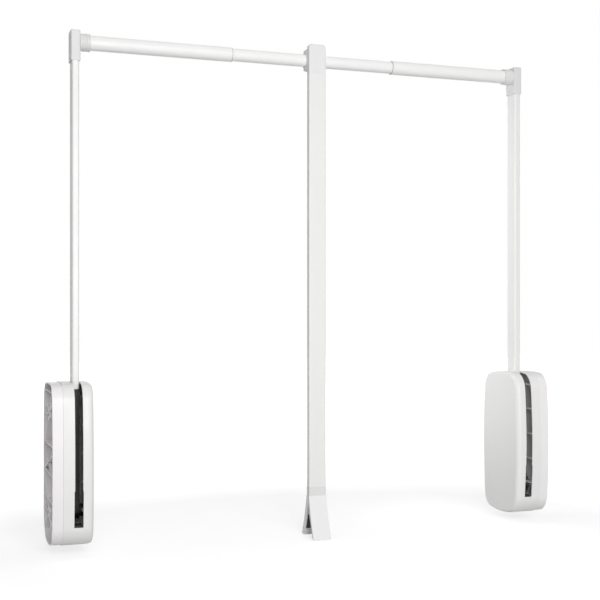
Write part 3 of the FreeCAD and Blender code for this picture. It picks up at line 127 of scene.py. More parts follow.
def length(name, description, default):
    """A length property, in metres, whose default is given in millimetres."""
    return FloatProperty(name=name, description=description, default=default * MM, min=0.0, unit="LENGTH")


def colour(name, description, code):
    """A colour property whose default is an sRGB hex value."""
    return FloatVectorProperty(
        name=name, description=description, default=linear(code), size=3, min=0.0, max=1.0, subtype="COLOR"
    )


class ClosetRodBox(PropertyGroup):
    """Sizes of the two side boxes that the frame's corners don't give."""

    height: length("Height", "Height of a cover before its top and bottom bulge", 261)
    curve: length("Bulge radius", "Radius of the gentle bulge of a box's front and back", 1100)
    top_curve: length("Top bulge radius", "Radius of the bulge of a box's top", 400)
    top_rise: length("Top rise", "Height that the bulge adds to the top", 3.9)
    top_peak: length("Top peak", "From the middle forward to the highest place of the top", 9)
    bottom_curve: length("Bottom bulge radius", "Radius of the bulge of a box's bottom", 230)
    bottom_rise: length("Bottom rise", "Depth that the bulge adds to the bottom", 7)
    bottom_peak: length("Bottom peak", "From the middle back to the lowest place of the bottom", 6)
    inset: length("Base inset", "A base's outline lies inside its cover's by this", 1.2)
    top_corner: length("Top corners", "Corner radius at the top of a box", 25)
    front_corner: length("Bottom front corner", "Corner radius at the bottom front of a box", 24)
    back_corner: length("Bottom back corner", "Corner radius at the bottom back of a cover", 19)
    base_back_corner: length("Base back corner", "Corner radius at the bottom back of a base", 35)
    edge: length("Inner edge", "Rounding down the front and back of a cover's inner face", 9)
    end_edge: length("Inner edge, ends", "Rounding over the top and under the bottom of that face", 5.5)
    wall: length("Cover wall", "Wall thickness of a cover", 2.4)
    slot_gap: length("Slot gap", "From the arm to either side of the slot", 0.5)
    slot_step: length("Slot step", "The slot's foot is wider by this on each side", 0.8)
    slot_foot: length("Slot foot", "Bottom of the box up to the end of the slot", 30)
    slot_narrow: length("Slot narrows", "Bottom of the box up to where the slot narrows", 90)
    rib: length("Cross rib", "Thickness of the cross ribs inside a cover", 3)
    rib_reach: length("Rib reach", "Depth of the cross ribs behind the front", 28)
    axle_boss: length("Axle boss", "Length of the axle that a cover's boss holds", 6)
    rim: length("Base rim", "Wall thickness of a base", 2.5)
    floor: length("Base floor", "Thickness of a base's floor, at the seam", 3)
    web: length("Lattice web", "Thickness of the ribs on the wall side", 1.8)
    boss: length("Boss radius", "Round bosses of the lattice", 9)
    sleeve: length("Sleeve radius", "Sleeve round a wall screw", 6.5)
    screw_hole: length("Screw hole radius", "Hole for a wall screw", 2.6)
    screw_rows: length("Screw rows", "Half the spacing of the rows of wall screws", 96)
    screw_columns: length("Screw columns", "Half the spacing of the columns of wall screws", 32)
    coil: length("Coil radius", "Middle of a lift spring to the middle of its wire", 6.2)
    wire: length("Spring wire", "Radius of a lift spring's wire", 1.3)
    coils: IntProperty(name="Coils", description="Turns of a lift spring", default=17, min=5, max=40)


class ClosetRodTubes(PropertyGroup):
    """Sizes of the arms, the hanging rod, the pull bar and the grip."""

    arm_corner: length("Arm corner", "Outer corner radius of an arm tube", 3)
    bar_corner: length("Bar corner", "Outer corner radius of the pull bar and the bracket", 2.5)
    wall: length("Flat tube wall", "Wall of the arm tubes and the pull bar", 1.2)
    flat_hollow: length("Flat tube hollow", "Depth of the hollow at either end of a flat tube", 15)
    round_wall: length("Round tube wall", "Wall of the hanging rod's tubes", 1)
    collar_skin: length("Collar groove", "The collar's ribs stand out by this", 0.6)
    collar_rib: length("Collar rib", "Width of a rib of the collar", 1.4)
    mouth: length("Collar mouth", "Radial gap between the collar's mouth and the tube", 0.7)
    mouth_depth: length("Mouth depth", "Depth of the collar's mouth", 3)
    head_corner: length("Head corner", "Top corners of the pull bar's head", 5.5)
    ring_radius: length("Clamp ring", "Outside radius of the clamp ring", 13.3)
    ear: length("Clamp ear", "Thickness of the back clamp's ears", 4.5)
    split: length("Clamp gap", "Between the two halves of the clamp", 0.3)
    screw_head: length("Screw head", "Radius of the screws' heads", 2.8)
    grip_screw: length("Grip screw head", "Height of the heads of the grip's screws", 2)
    screw_shank: length("Screw shank", "Radius of the screws' shanks", 1.5)
    leg_curve: length("Leg curve", "Radius of the curve of a grip leg", 390)
    leg_corner: length("Leg corner", "Bottom corners of a grip leg", 4.5)
    leg_foot: length("Leg foot", "Thickness of a leg at its foot", 5)
    leg_skin: length("Leg skin", "Front of a leg, in front of its hollow", 2)
    leg_rim: length("Leg rim", "Rim round the hollow of a leg", 2.4)
    leg_start: length("Leg parting", "Top of the legs down to where they part", 14)
    # The pad in each leg's hollow is a dark patch of painted shade that darkens the hollow; these sizes place
    # it.
    pad_foot: length("Pad foot", "Bottom of a leg up to its pad's recess", 10)
    pad_top: length("Pad top", "Bottom of a leg up to the top of that recess", 41)
    pad_rim: length("Pad rim", "The pad lies inside its part of the hollow by this", 3.5)
    pad_depth: length("Pad depth", "The pad lies below the hollow's floor by this", 0.8)
    tongue: length("Tongue", "Half the gap that the grip's tongue fills between the legs", 1.9)
    turns: IntProperty(name="Round steps", description="Steps round a tube", default=96, min=24, max=256)


class ClosetRodColours(PropertyGroup):
    """Colours of the finishes."""

    powder: colour("Arms", "Powder coat of the arms", "F0F0EF")
    rod: colour("Rod", "Powder coat of the hanging rod's tubes", "F9F9F8")
    bar: colour("Pull bar", "Powder coat of the pull bar", "EEEEEC")
    cover: colour("Cover", "Moulded covers of the side boxes", "F0F0EF")
    base: colour("Base", "Moulded bases of the side boxes", "F7F4F5")
    bracket: colour("Bracket", "Moulded brackets and the clamp", "E2E2E3")
    collar: colour("Collar", "Ribbed collars", "E6E6E5")
    head: colour("Head", "Head of the pull bar", "EAEAEA")
    grip: colour("Grip", "Legs of the grip", "EFEFEF")
    grip_block: colour("Grip block", "Block at the top of the grip", "E4E4E4")
    nylon: colour("Nylon", "Glides, bushes and guides", "CFCDC8")
    casting: colour("Black coat", "Castings inside the boxes", "131415")
    rubber: colour("Rubber", "Stops inside the boxes", "1B1B1C")
    # Dark colour of the pads in the legs' hollows: painted shade that darkens the hollows, given a rubber
    # finish.
    pad: colour("Grip pad", "Rubber pads sunk in the hollows of the grip's legs", "2C2C2D")
    zinc: colour("Zinc casting", "Racks and pinions", "A9ABAE")
    plated: colour("Plated steel", "Screws, pins and axles", "C9CCD0")
    spring: colour("Spring wire", "Lift springs", "6C6E72")
    floor: colour("Floor", "The pale floor", "C8C8C8")


# ---------------------------------------------------------------- finishes


def add_node(tree, kind, inputs=None, **settings):
    """Adds a node, with its settings and with values or other nodes' sockets for its inputs."""
    made = tree.nodes.new("ShaderNode" + kind)
    for name, setting in settings.items():
        setattr(made, name, setting)
    for name, given in (inputs or {}).items():
        if isinstance(given, bpy.types.NodeSocket):
            tree.links.new(given, made.inputs[name])
        else:
            made.inputs[name].default_value = given
    return made


def pattern(tree, place, size, detail=2.0, distortion=0.0, kind="TexNoise"):
    """A cloudy or a banded pattern whose cells or bands are about a size, in millimetres."""
    inputs = {"Vector": place, "Scale": 1 / (size * MM), "Detail": detail, "Distortion": distortion}
    return add_node(tree, kind, inputs).outputs["Fac"]


def new_finish(name, shade, sockets, relief, cloud, change, rough=None):
    """A material with one shader of a colour, and constants on its sockets. relief gives the depth of each
    pattern that raises its skin, then the pattern. cloud is the pattern that moves the colour towards its
    product with change, and the roughness between two values. Depths and sizes are in millimetres."""
    material = bpy.data.materials.new(name)
    material.use_nodes = True
    tree = material.node_tree
    shader = tree.nodes["Principled BSDF"]
    for socket, given in {"Base Color": (*shade, 1), **sockets}.items():
        shader.inputs[socket].default_value = given
    place = add_node(tree, "TexCoord").outputs["Object"]
    for depth, *shape in relief:
        inputs = {"Height": pattern(tree, place, *shape), "Distance": depth * MM, "Strength": 1.0}
        for link in shader.inputs["Normal"].links:
            inputs["Normal"] = link.from_socket
        tree.links.new(add_node(tree, "Bump", inputs).outputs["Normal"], shader.inputs["Normal"])
    clouds = pattern(tree, place, *cloud)
    # A Mix node's sockets share their names, so its colours go by number.
    ends = {"Factor": clouds, 6: (*shade, 1), 7: (*[part * change for part in shade], 1)}
    tree.links.new(add_node(tree, "Mix", ends, data_type="RGBA").outputs[2], shader.inputs["Base Color"])
    if rough:
        spread = {"Value": clouds, "From Min": 0.3, "From Max": 0.7, "To Min": rough[0], "To Max": rough[1]}
        tree.links.new(add_node(tree, "MapRange", spread).outputs["Result"], shader.inputs["Roughness"])
    return material


def powder_coat(name, shade):
    """Polyester powder baked on steel tube: an even soft gloss over a fine orange peel."""
    # Real orange peel has cells of about 1 mm. It is drawn 2 mm wide so that it shows.
    peel = (0.012, 2)
    return new_finish(name, shade, {"IOR": 1.5}, [peel], cloud=[70], change=0.985, rough=(0.3, 0.38))


def moulded_abs(name, shade):
    """ABS from a spark-eroded mould: a satin skin with a fine even grain and faint flow clouds."""
    # The eroded grain is 0.3 mm, drawn 0.9 mm wide so that it shows.
    grain, sink_marks = (0.008, 0.9, 3), (0.03, 28, 0)
    sockets = {"IOR": 1.54}
    return new_finish(name, shade, sockets, [grain, sink_marks], cloud=[45], change=0.982, rough=(0.38, 0.47))


def nylon(name, shade):
    """Unfilled nylon: dull, slightly waxy and a little see-through, with a soft skin."""
    sockets = {"IOR": 1.53, "Subsurface Weight": 0.12, "Subsurface Scale": 1.5 * MM, "Roughness": 0.5}
    return new_finish(name, shade, sockets, [(0.02, 3)], cloud=[3], change=0.94)


def coated_casting(name, shade):
    """Die-cast aluminium under a black dip coat: half matt, with the pebbled skin of the casting."""
    pebbles = (0.05, 1.6, 4)
    return new_finish(name, shade, {"IOR": 1.5}, [pebbles], cloud=[14], change=0.7, rough=(0.42, 0.58))


def zinc_casting(name, shade):
    """Zinc as it leaves the die: grey metal with faint flow marks and a dull, uneven shine."""
    grain, flow = (0.02, 1.2, 3), (6, 5, 0.8)
    return new_finish(name, shade, {"Metallic": 1.0}, [grain], cloud=flow, change=0.82, rough=(0.38, 0.56))


def plated_steel(name, shade):
    """Turned steel, zinc plated: bright, with fine tool marks round it and cloudy plating."""
    marks = (0.006, 9, 2, 1.5, "TexWave")
    return new_finish(name, shade, {"Metallic": 1.0}, [marks], cloud=[8], change=0.9, rough=(0.22, 0.34))


def spring_wire(name, shade):
    """Patented spring wire with a film of oil: dark grey, drawn smooth along its length."""
    sockets, film = {"Metallic": 1.0, "Coat Weight": 0.3, "Coat Roughness": 0.15}, (5, 3)
    return new_finish(name, shade, sockets, [(0.01, 0.8)], cloud=film, change=0.75, rough=(0.3, 0.45))


def moulded_rubber(name, shade):
    """Moulded natural rubber: black, nearly matt, with a faint bloom on its skin."""
    grain, bloom = (0.03, 0.7, 3), (7, 4)
    return new_finish(name, shade, {"IOR": 1.52}, [grain], cloud=bloom, change=1.35, rough=(0.62, 0.8))


# The finish of each of the record's slots, for the pieces that keep the frame's own mesh
SLOT_FINISHES = {
    "white_plastic": (moulded_abs, "cover"),
    "grey_white_plastic": (moulded_abs, "bracket"),
    "white_steel": (powder_coat, "powder"),
    "black_casting": (coated_casting, "casting"),
    "zinc_gear": (zinc_casting, "zinc"),
    "grey_nylon": (nylon, "nylon"),
    "rubber": (moulded_rubber, "rubber"),
    "spring_steel": (spring_wire, "spring"),
    "bright_steel": (plated_steel, "plated"),
}


def finish(kind, part):
    """The material of a kind in the colour that a part has, made once."""
    name = f"{kind.__name__}_{part}"
    shade = tuple(getattr(bpy.context.scene.closet_rod_colours, part))
    return bpy.data.materials.get(name) or kind(name, shade)


# ---------------------------------------------------------------- shapes


def middle_of(node):
    """The middle of a node's box."""
    low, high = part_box(node)
    return (low + high) / 2


def round_node(node):
    """The start, end, middle line and radius of a round node that lies across the wardrobe."""
    low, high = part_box(node)
    return low.x, high.x, Vector((0, (low.y + high.y) / 2, (low.z + high.z) / 2)), (high.z - low.z) / 2


def only(items, kind):
    """The items of one kind among those that an operator of bmesh gives."""
    return [item for item in items if isinstance(item, kind)]


def edges_of(faces):
    """The edges round and between faces."""
    return {edge for face in faces for edge in face.edges}


def soften(bm, geometry, radius, segments=2, affect="EDGES"):
    """Rounds edges by a radius, or the corners of a face."""
    bmesh.ops.bevel(
        bm, geom=list(geometry), offset=radius, offset_type="OFFSET", segments=segments, profile=0.5,
        affect=affect, clamp_overlap=False, material=-1,
    )


def sharp_edges(bm, least=50):
    """The edges whose two faces meet at more than an angle in degrees."""
    edges = [edge for edge in bm.edges if edge.is_manifold]
    return [edge for edge in edges if edge.calc_face_angle() > math.radians(least)]


def outline(along, place, low, high, radii, segments=8):
    """A new bmesh with one face across an axis: a rectangle, its corners rounded by their own radii.
    The corners run low-low, high-low, high-high, low-high."""
    bm = bmesh.new()
    corners = []
    for first, second in ((low[0], low[1]), (high[0], low[1]), (high[0], high[1]), (low[0], high[1])):
        point = {"X": (place, first, second), "Y": (first, place, second), "Z": (first, second, place)}
        corners.append(bm.verts.new(point[along]))
    bm.faces.new(corners)
    for corner, radius in zip(corners, radii):
        if radius > 0:
            soften(bm, [corner], radius, segments, "VERTICES")
    return bm


def pull(bm, faces, step):
    """Extrudes faces by a vector and returns the moved ones."""
    made = bmesh.ops.extrude_face_region(bm, geom=[*faces, *edges_of(faces)])["geom"]
    bmesh.ops.translate(bm, verts=only(made, bmesh.types.BMVert), vec=step)
    return only(made, bmesh.types.BMFace)


def faces_at(bm, axis, place):
    """The faces that lie flat at a place on an axis."""
    near = 10 * TINY
    return [face for face in bm.faces if all(abs(vert.co.dot(axis) - place) < near for vert in face.verts)]


def slice_through(bm, place, across, **settings):
    """Cuts a mesh along a plane and returns the edges on it."""
    geometry = bm.verts[:] + bm.edges[:] + bm.faces[:]
    cut = bmesh.ops.bisect_plane(bm, geom=geometry, dist=TINY, plane_co=place, plane_no=across, **settings)
    return only(cut["geom_cut"], bmesh.types.BMEdge)


def inset(bm, faces, wall, rise=0.0):
    """Draws faces in by a wall, and raises them."""
    bmesh.ops.inset_region(
        bm, faces=faces, thickness=wall, depth=rise, use_even_offset=True, use_boundary=True
    )


def round_over(bm, faces, radius, segments):
    """Rounds a flat end over by a radius, in a row of insets that each rise a little less."""
    for step in range(segments):
        near, far = (math.pi / 2 * place / segments for place in (step, step + 1))
        inset(bm, faces, radius * (math.cos(near) - math.cos(far)), radius * (math.sin(far) - math.sin(near)))


def sink(bm, axis, place, wall, depth):
    """Sinks a pocket into a flat end, inside a wall. A negative depth goes down the axis."""
    mouth = faces_at(bm, axis, place)
    inset(bm, mouth, wall)
    pull(bm, mouth, axis * depth)


def add_block(bm, low, high, radius, turn=Matrix.Identity(4)):
    """Adds a box between two corners, its edges rounded, turned about its middle by a matrix."""
    middle, size = (Vector(low) + Vector(high)) / 2, Vector(high) - Vector(low)
    place = Matrix.Translation(middle) @ turn @ Matrix.Diagonal((*size, 1))
    verts = bmesh.ops.create_cube(bm, size=1.0, matrix=place)["verts"]
    soften(bm, {edge for vert in verts for edge in vert.link_edges}, radius)


def add_turned(bm, centre, axis, profile, steps=48, closed=True):
    """Spins a profile of places along an axis and radii round it. An open profile starts and ends on it."""
    across = axis.orthogonal().normalized()
    verts = [bm.verts.new(Vector(centre) + axis * place + across * radius) for place, radius in profile]
    pairs = list(zip(verts, verts[1:])) + ([(verts[-1], verts[0])] if closed else [])
    edges = [bm.edges.new(pair) for pair in pairs]
    bmesh.ops.spin(
        bm, geom=verts + edges, cent=centre, axis=axis, dvec=(0, 0, 0), angle=math.tau, steps=steps,
        use_merge=True,
    )


def broken_rims(span, radius, edge):
    """The outside of a round profile between two places, with a chamfer at either rim."""
    start, end = span
    return [(start, radius - edge), (start + edge, radius), (end - edge, radius), (end, radius - edge)]


def add_ring(bm, centre, axis, span, radii, edge, steps=48):
    """Adds a tube between two places along an axis, of an inner and an outer radius, its rims broken."""
    inner, outer = radii
    add_turned(bm, centre, axis, [(span[0], inner), *broken_rims(span, outer, edge), (span[1], inner)], steps)


def add_peg(bm, centre, axis, span, radius, edge, steps=32):
    """Adds a solid pin between two places along an axis, its rims broken."""
    profile = [(span[0], 0), *broken_rims(span, radius, edge), (span[1], 0)]
    add_turned(bm, centre, axis, profile, steps, closed=False)


def mirror(bm, axis, middle):
    """Turns a mesh into its twin across a place on an axis."""
    bmesh.ops.scale(bm, verts=bm.verts, vec=Vector((1, 1, 1)) - 2 * axis)
    bmesh.ops.translate(bm, verts=bm.verts, vec=2 * middle * axis)
    bmesh.ops.reverse_faces(bm, faces=bm.faces)


def close_up(bm):
    """Merges doubled points and turns every face outwards."""
    bmesh.ops.remove_doubles(bm, verts=bm.verts, dist=TINY)
    bmesh.ops.recalc_face_normals(bm, faces=bm.faces)


def add_piece(name, bm, material, *nodes):
    """Closes a mesh up and makes an object of it, in place of its nodes and on their body."""
    close_up(bm)
    mesh = bpy.data.meshes.new(name)
    bm.to_mesh(mesh)
    bm.free()
    mesh.shade_smooth()
    mesh.set_sharp_from_angle(angle=SHARP_ANGLE)
    mesh.materials.append(material)
    piece = bpy.data.objects.new(name, mesh)
    bpy.context.scene.collection.objects.link(piece)
    weight = piece.modifiers.new("Even shading", "WEIGHTED_NORMAL")
    weight.keep_sharp = True
    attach(piece, frame["nodes"][nodes[0]]["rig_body"])
    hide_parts(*nodes)
    return piece


def add_pair(name, build, material, node):
    """Makes a left-hand piece with a function, and its right-hand twin."""
    pieces = []
    for side in SIDES:
        bm = build()
        if side == "right":
            mirror(bm, X, MIDDLE_X)
        pieces.append(add_piece(f"{side}_{name}", bm, material, f"{side}_{node}"))
    return pieces


# ---------------------------------------------------------------- side boxes


def box_sizes():
    """The sizes of the side boxes."""
    return bpy.context.scene.closet_rod_box


def sag(radius, height):
    """How far a curve of a radius has fallen back at a height from its middle."""
    return radius - math.sqrt(radius ** 2 - height ** 2)


def half_box(inset_by):
    """Half a box's depth and half its height, without its bulges, inside a cover's outline by an inset."""
    return Vector((0, COVER_HIGH.y - inset_by, box_sizes().height / 2 - inset_by))


def bulge(place, inset_by):
    """Moves a place on a flat-sided box outwards, as its four sides bulge."""
    sizes, half = box_sizes(), half_box(inset_by)
    if place.z > 0:
        rise = sizes.top_rise - sag(sizes.top_curve - inset_by, place.y + sizes.top_peak)
    else:
        rise = sizes.bottom_rise - sag(sizes.bottom_curve - inset_by, place.y - sizes.bottom_peak)
    depth = place.y * (1 - sag(sizes.curve - inset_by, place.z) / half.y)
    return Vector((place.x, depth, place.z * (1 + rise / half.z)))


def box_outline(place, back_corner, inset_by=0.0):
    """The box seen from its side: four rounded corners between four gently bulging sides."""
    sizes, half = box_sizes(), half_box(inset_by)
    corners = (sizes.front_corner, back_corner, sizes.top_corner, sizes.top_corner)
    radii = [corner - inset_by for corner in corners]
    bm = outline("X", place, (-half.y, -half.z), (half.y, half.z), radii, 14)
    bmesh.ops.delete(bm, geom=bm.faces[:], context="FACES_ONLY")
    # Only the four sides are longer than the edges round the corners.
    sides = [edge for edge in bm.edges if edge.calc_length() > 30 * MM]
    bmesh.ops.subdivide_edges(bm, edges=sides, cuts=28)
    for vert in bm.verts:
        vert.co = bulge(vert.co, inset_by)
    bmesh.ops.holes_fill(bm, edges=bm.edges[:])
    return bm


def cut_slot(bm):
    """Takes out the slot that the arm swings through: down the front, over the top, wider at its foot."""
    sizes = box_sizes()
    arm_low, arm_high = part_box("left_arm_tube")
    middle = middle_of("left_arm_tube").x
    narrow = (arm_high.x - arm_low.x) / 2 + sizes.slot_gap
    wide, back = narrow + sizes.slot_step, arm_high.y + sizes.slot_gap
    foot, step = (height - sizes.height / 2 for height in (sizes.slot_foot, sizes.slot_narrow))
    planes = [(X * (middle + way * half), X) for way in (-1, 1) for half in (narrow, wide)]
    for place, across in [*planes, (Z * foot, Z), (Z * step, Z), (Y * back, Y)]:
        slice_through(bm, place, across)
    inside = []
    for face in bm.faces:
        centre = face.calc_center_median()
        half = wide if centre.z < step else narrow
        if abs(centre.x - middle) < half and centre.z > foot and centre.y < back:
            inside.append(face)
    bmesh.ops.delete(bm, geom=inside, context="FACES")
    # The cuts leave points beside those of the rounding, too close for the wall that follows.
    bmesh.ops.remove_doubles(bm, verts=bm.verts, dist=0.45 * MM)


def add_cover_inside(bm):
    """Cross ribs behind the front, cut by the slot, and the boss that carries the axle."""
    sizes = box_sizes()
    arm_low, arm_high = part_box("left_arm_tube")
    gap = sizes.slot_gap + sizes.slot_step
    # Ribs and boss begin within the thickness of the wall that carries them.
    spans = [(COVER_LOW.x, arm_low.x - gap), (arm_high.x + gap, COVER_HIGH.x - 0.7 * sizes.edge)]
    back = COVER_LOW.y + sizes.wall + sizes.rib_reach
    for share in COVER_RIBS:
        level = (share - 0.5) * sizes.height
        front = COVER_LOW.y + sag(sizes.curve, level) + 0.7 * sizes.wall
        for start, end in spans:
            add_block(bm, (start, front, level), (end, back, level + sizes.rib), FINE)
    axle_end, centre, radius = round_node("left_pivot_axle")[1:]
    span = (axle_end - sizes.axle_boss, COVER_HIGH.x - 0.8 * sizes.wall)
    add_ring(bm, centre, X, span, (radius, 2 * radius), BROKEN)


def cover():
    """A cover: a smooth hollow shell, open towards the base, with the arm's slot."""
    sizes = box_sizes()
    bm = box_outline(COVER_LOW.x, sizes.back_corner)
    lid = pull(bm, bm.faces, X * (COVER_HIGH.x - COVER_LOW.x - sizes.edge))
    close_up(bm)
    round_over(bm, lid, sizes.edge, 10)
    # Over the top and under the bottom the rounding is tighter, so those rows go back out.
    for vert in bm.verts:
        risen = min(sizes.edge, max(0, vert.co.x - COVER_HIGH.x + sizes.edge))
        back_out = (1 - sizes.end_edge / sizes.edge) * sag(sizes.edge, risen)
        vert.co.z *= 1 + back_out / (sizes.height / 2)
    bmesh.ops.delete(bm, geom=faces_at(bm, X, COVER_LOW.x), context="FACES")
    cut_slot(bm)
    bmesh.ops.solidify(bm, geom=bm.faces[:], thickness=sizes.wall)
    soften(bm, sharp_edges(bm), 0.3 * MM)
    add_cover_inside(bm)
    return bm


def corner_point(inset_by, corner, way):
    """A place on a rounded corner's diagonal. way gives the corner: front or back, bottom or top."""
    half, shortfall = half_box(inset_by), (corner - inset_by) * (1 - math.sqrt(0.5))
    return bulge(Vector((0, way[0] * (half.y - shortfall), way[1] * (half.z - shortfall))), inset_by)


def lattice_lines():
    """The ribs on the wall side, as pairs of places: level ones, ones that meet in the bosses, and a cross.
    The two bosses follow: the lower one, behind the axle, and the upper one."""
    sizes = box_sizes()
    inset_by = sizes.inset + sizes.rim / 2
    half, corner = half_box(inset_by), sizes.top_corner - inset_by
    lower = round_node("left_pivot_axle")[2]
    upper = Vector((0, lower.y, -lower.z))

    def side(way, share):
        # Beside a top corner the outline falls away, so a rib there ends sooner.
        level = share * sizes.height
        over = max(0, level + 2 * MM - (half.z - corner))
        return Vector((0, way * (half.y - sag(sizes.curve - inset_by, level) - sag(corner, over)), level))

    shares = [*BASE_RIBS, lower.z / sizes.height, upper.z / sizes.height]
    lines = [(side(-1, share), side(1, share)) for share in shares]
    lines.append((lower, corner_point(inset_by, sizes.front_corner, (-1, -1))))
    lines.append((lower, corner_point(inset_by, sizes.base_back_corner, (1, -1))))
    lines += [(upper, corner_point(inset_by, sizes.top_corner, (way, 1))) for way in (-1, 1)]
    lines += [(lower, side(1, -SLANT_END)), (upper, side(1, SLANT_END))]
    lines += [(side(-1, way * CROSS_END), side(1, -way * CROSS_END)) for way in (-1, 1)]
    return lines, lower, upper


def base():
    """A base: a rimmed tray, open to the wall, with a lattice of ribs, two bosses and four screw sleeves."""
    sizes = box_sizes()
    wall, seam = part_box("left_base_housing")[0].x, COVER_LOW.x
    bm = box_outline(wall, sizes.base_back_corner, sizes.inset)
    pull(bm, bm.faces, X * (seam - wall))
    close_up(bm)
    depth = seam - wall - sizes.floor
    sink(bm, X, wall, sizes.rim, depth)
    soften(bm, sharp_edges(bm), 0.35 * MM)
    lines, *bosses = lattice_lines()
    for start, end in lines:
        run, middle = end - start, (start + end) / 2
        size = Vector((depth, run.length, sizes.web)) / 2
        middle.x = wall + depth / 2
        turn = Matrix.Rotation(math.atan2(run.z, run.y), 4, "X")
        add_block(bm, middle - size, middle + size, FINE, turn)
    # Bosses and sleeves start where X is 0. The frame's box starts a rounding error below it, and as the ribs
    # take their place from the box, this settles which of two flush faces shows.
    for boss in bosses:
        add_peg(bm, boss, X, (0, depth + MM), sizes.boss, BROKEN)
    for y in (-sizes.screw_columns, sizes.screw_columns):
        for z in (-sizes.screw_rows, sizes.screw_rows):
            add_ring(bm, (0, y, z), X, (0, seam - wall), (sizes.screw_hole, sizes.sleeve), BROKEN)
    return bm


def lift_spring():
    """A coil spring: a round section spun up a helix, its two ends cut square."""
    sizes = box_sizes()
    low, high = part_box("left_lift_spring")
    centre = middle_of("left_lift_spring")
    bm = bmesh.new()
    place = Matrix.Translation((centre.x + sizes.coil, centre.y, low.z + sizes.wire))
    turn = Matrix.Rotation(math.pi / 2, 4, "X")
    section = bmesh.ops.create_circle(bm, segments=12, radius=sizes.wire, matrix=place @ turn)["verts"]
    steps = sizes.coils * 20
    bmesh.ops.spin(
        bm, geom=section + bm.edges[:], cent=centre, axis=Z, angle=sizes.coils * math.tau, steps=steps,
        dvec=Z * (high.z - low.z - 2 * sizes.wire) / steps,
    )
    bmesh.ops.holes_fill(bm, edges=[edge for edge in bm.edges if edge.is_boundary])
    return bm


# ---------------------------------------------------------------- arms


def tube_sizes():
    """The sizes of the arms, the rod, the pull bar and the grip."""
    return bpy.context.scene.closet_rod_tubes


def upright(node, corner):
    """A node's box as a mesh with rounded upright edges, and the faces on its top."""
    low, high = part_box(node)
    bm = outline("Z", low.z, low, high, [corner] * 4)
    top = pull(bm, bm.faces, Z * (high.z - low.z))
    close_up(bm)
    return bm, top


def flat_tube(node, corner):
    """An upright tube of rounded rectangular section, hollow at both ends."""
    sizes = tube_sizes()
    low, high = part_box(node)
    bm = upright(node, corner)[0]
    for place, depth in ((low.z, sizes.flat_hollow), (high.z, -sizes.flat_hollow)):
        sink(bm, Z, place, sizes.wall, depth)
    soften(bm, sharp_edges(bm), 0.2 * MM)
    return bm


def arm_tube():
    """The flat tube of an arm."""
    return flat_tube("left_arm_tube", tube_sizes().arm_corner)


def bracket():
    """The moulded block on top of an arm, with a low rim round the cap on its outer side."""
    low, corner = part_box("left_rod_bracket")[0], tube_sizes().bar_corner
    bm, top = upright("left_rod_bracket", corner)
    soften(bm, edges_of(top), 0.6 * corner, 4)
    soften(bm, edges_of(faces_at(bm, Z, low.z)), 0.5 * MM)
    centre, radius = round_node("left_bracket_cap")[2:]
    add_ring(bm, centre, X, (low.x - FINE, low.x + MM), (radius, radius + 0.8 * MM), 0.2 * MM)
    return bm


def cap():
    """The domed cap that hides the rod's screw."""
    start, end, centre, radius = round_node("left_bracket_cap")
    # The dome: millimetres from its top, and the share of the radius there
    dome = ((0, 0), (0.06, 0.5), (0.2, 0.85), (0.45, 1))
    profile = [(start + depth * MM, share * radius) for depth, share in dome]
    bm = bmesh.new()
    add_turned(bm, centre, X, [*profile, (end, radius), (end, 0)], closed=False)
    return bm


# ---------------------------------------------------------------- hanging rod


def round_tube(node):
    """A drawn steel tube with its rims broken."""
    sizes = tube_sizes()
    start, end, centre, radius = round_node(node)
    bm = bmesh.new()
    add_ring(bm, centre, X, (start, end), (radius - sizes.round_wall, radius), FINE, sizes.turns)
    return bm


def collar():
    """A ribbed collar: rings round a sleeve, and a mouth that stands a little off the tube."""
    sizes = tube_sizes()
    start, end, centre, radius = round_node("left_rod_collar")
    tube = round_node("left_outer_tube")[3]
    groove, mouth, floor = radius - sizes.collar_skin, tube + sizes.mouth, end - sizes.mouth_depth
    profile = [(start, tube)]
    for share in COLLAR_RIBS:
        near = start + share * (end - start - sizes.collar_rib)
        far = near + sizes.collar_rib
        # The outer flanks of the first and the last rib are the collar's own ends.
        profile += [(near, groove)] * (share > 0)
        profile += [(near + FINE * (share > 0), radius - FINE), (near + 2 * FINE, radius)]
        profile += [(far - 2 * FINE, radius), (far - FINE * (share < 1), radius - FINE)]
        profile += [(far, groove)] * (share < 1)
    profile += [(end, mouth + FINE), (end - FINE, mouth), (floor, mouth), (floor, tube)]
    bm = bmesh.new()
    add_turned(bm, centre, X, profile, sizes.turns)
    return bm


def glide(side):
    """The nylon glide in an outer tube's mouth: its lip is rounded, and its bore opens in a chamfer."""
    sizes = tube_sizes()
    start, end, centre, radius = round_node(f"{side}_tube_glide")
    tube_start, tube_end = round_node(f"{side}_outer_tube")[:2]
    bore, sleeve = round_node("centre_tube")[3] + RUNNING_GAP, radius - sizes.round_wall
    mouth, foot, far, way = (tube_end, start, end, 1) if side == "left" else (tube_start, end, start, -1)
    # Round the lip: millimetres back from its end, and the radius there
    lip = ((0.7, radius), (0.2, radius - 0.4 * MM), (0, bore + 0.5 * MM), (0.5, bore))
    profile = [(foot, bore), (foot, sleeve), (mouth, sleeve), (mouth, radius - 0.1 * MM)]
    profile += [(far - way * back * MM, place) for back, place in lip]
    bm = bmesh.new()
    add_turned(bm, centre, X, profile, sizes.turns)
    return bm


# ---------------------------------------------------------------- pull bar and grip


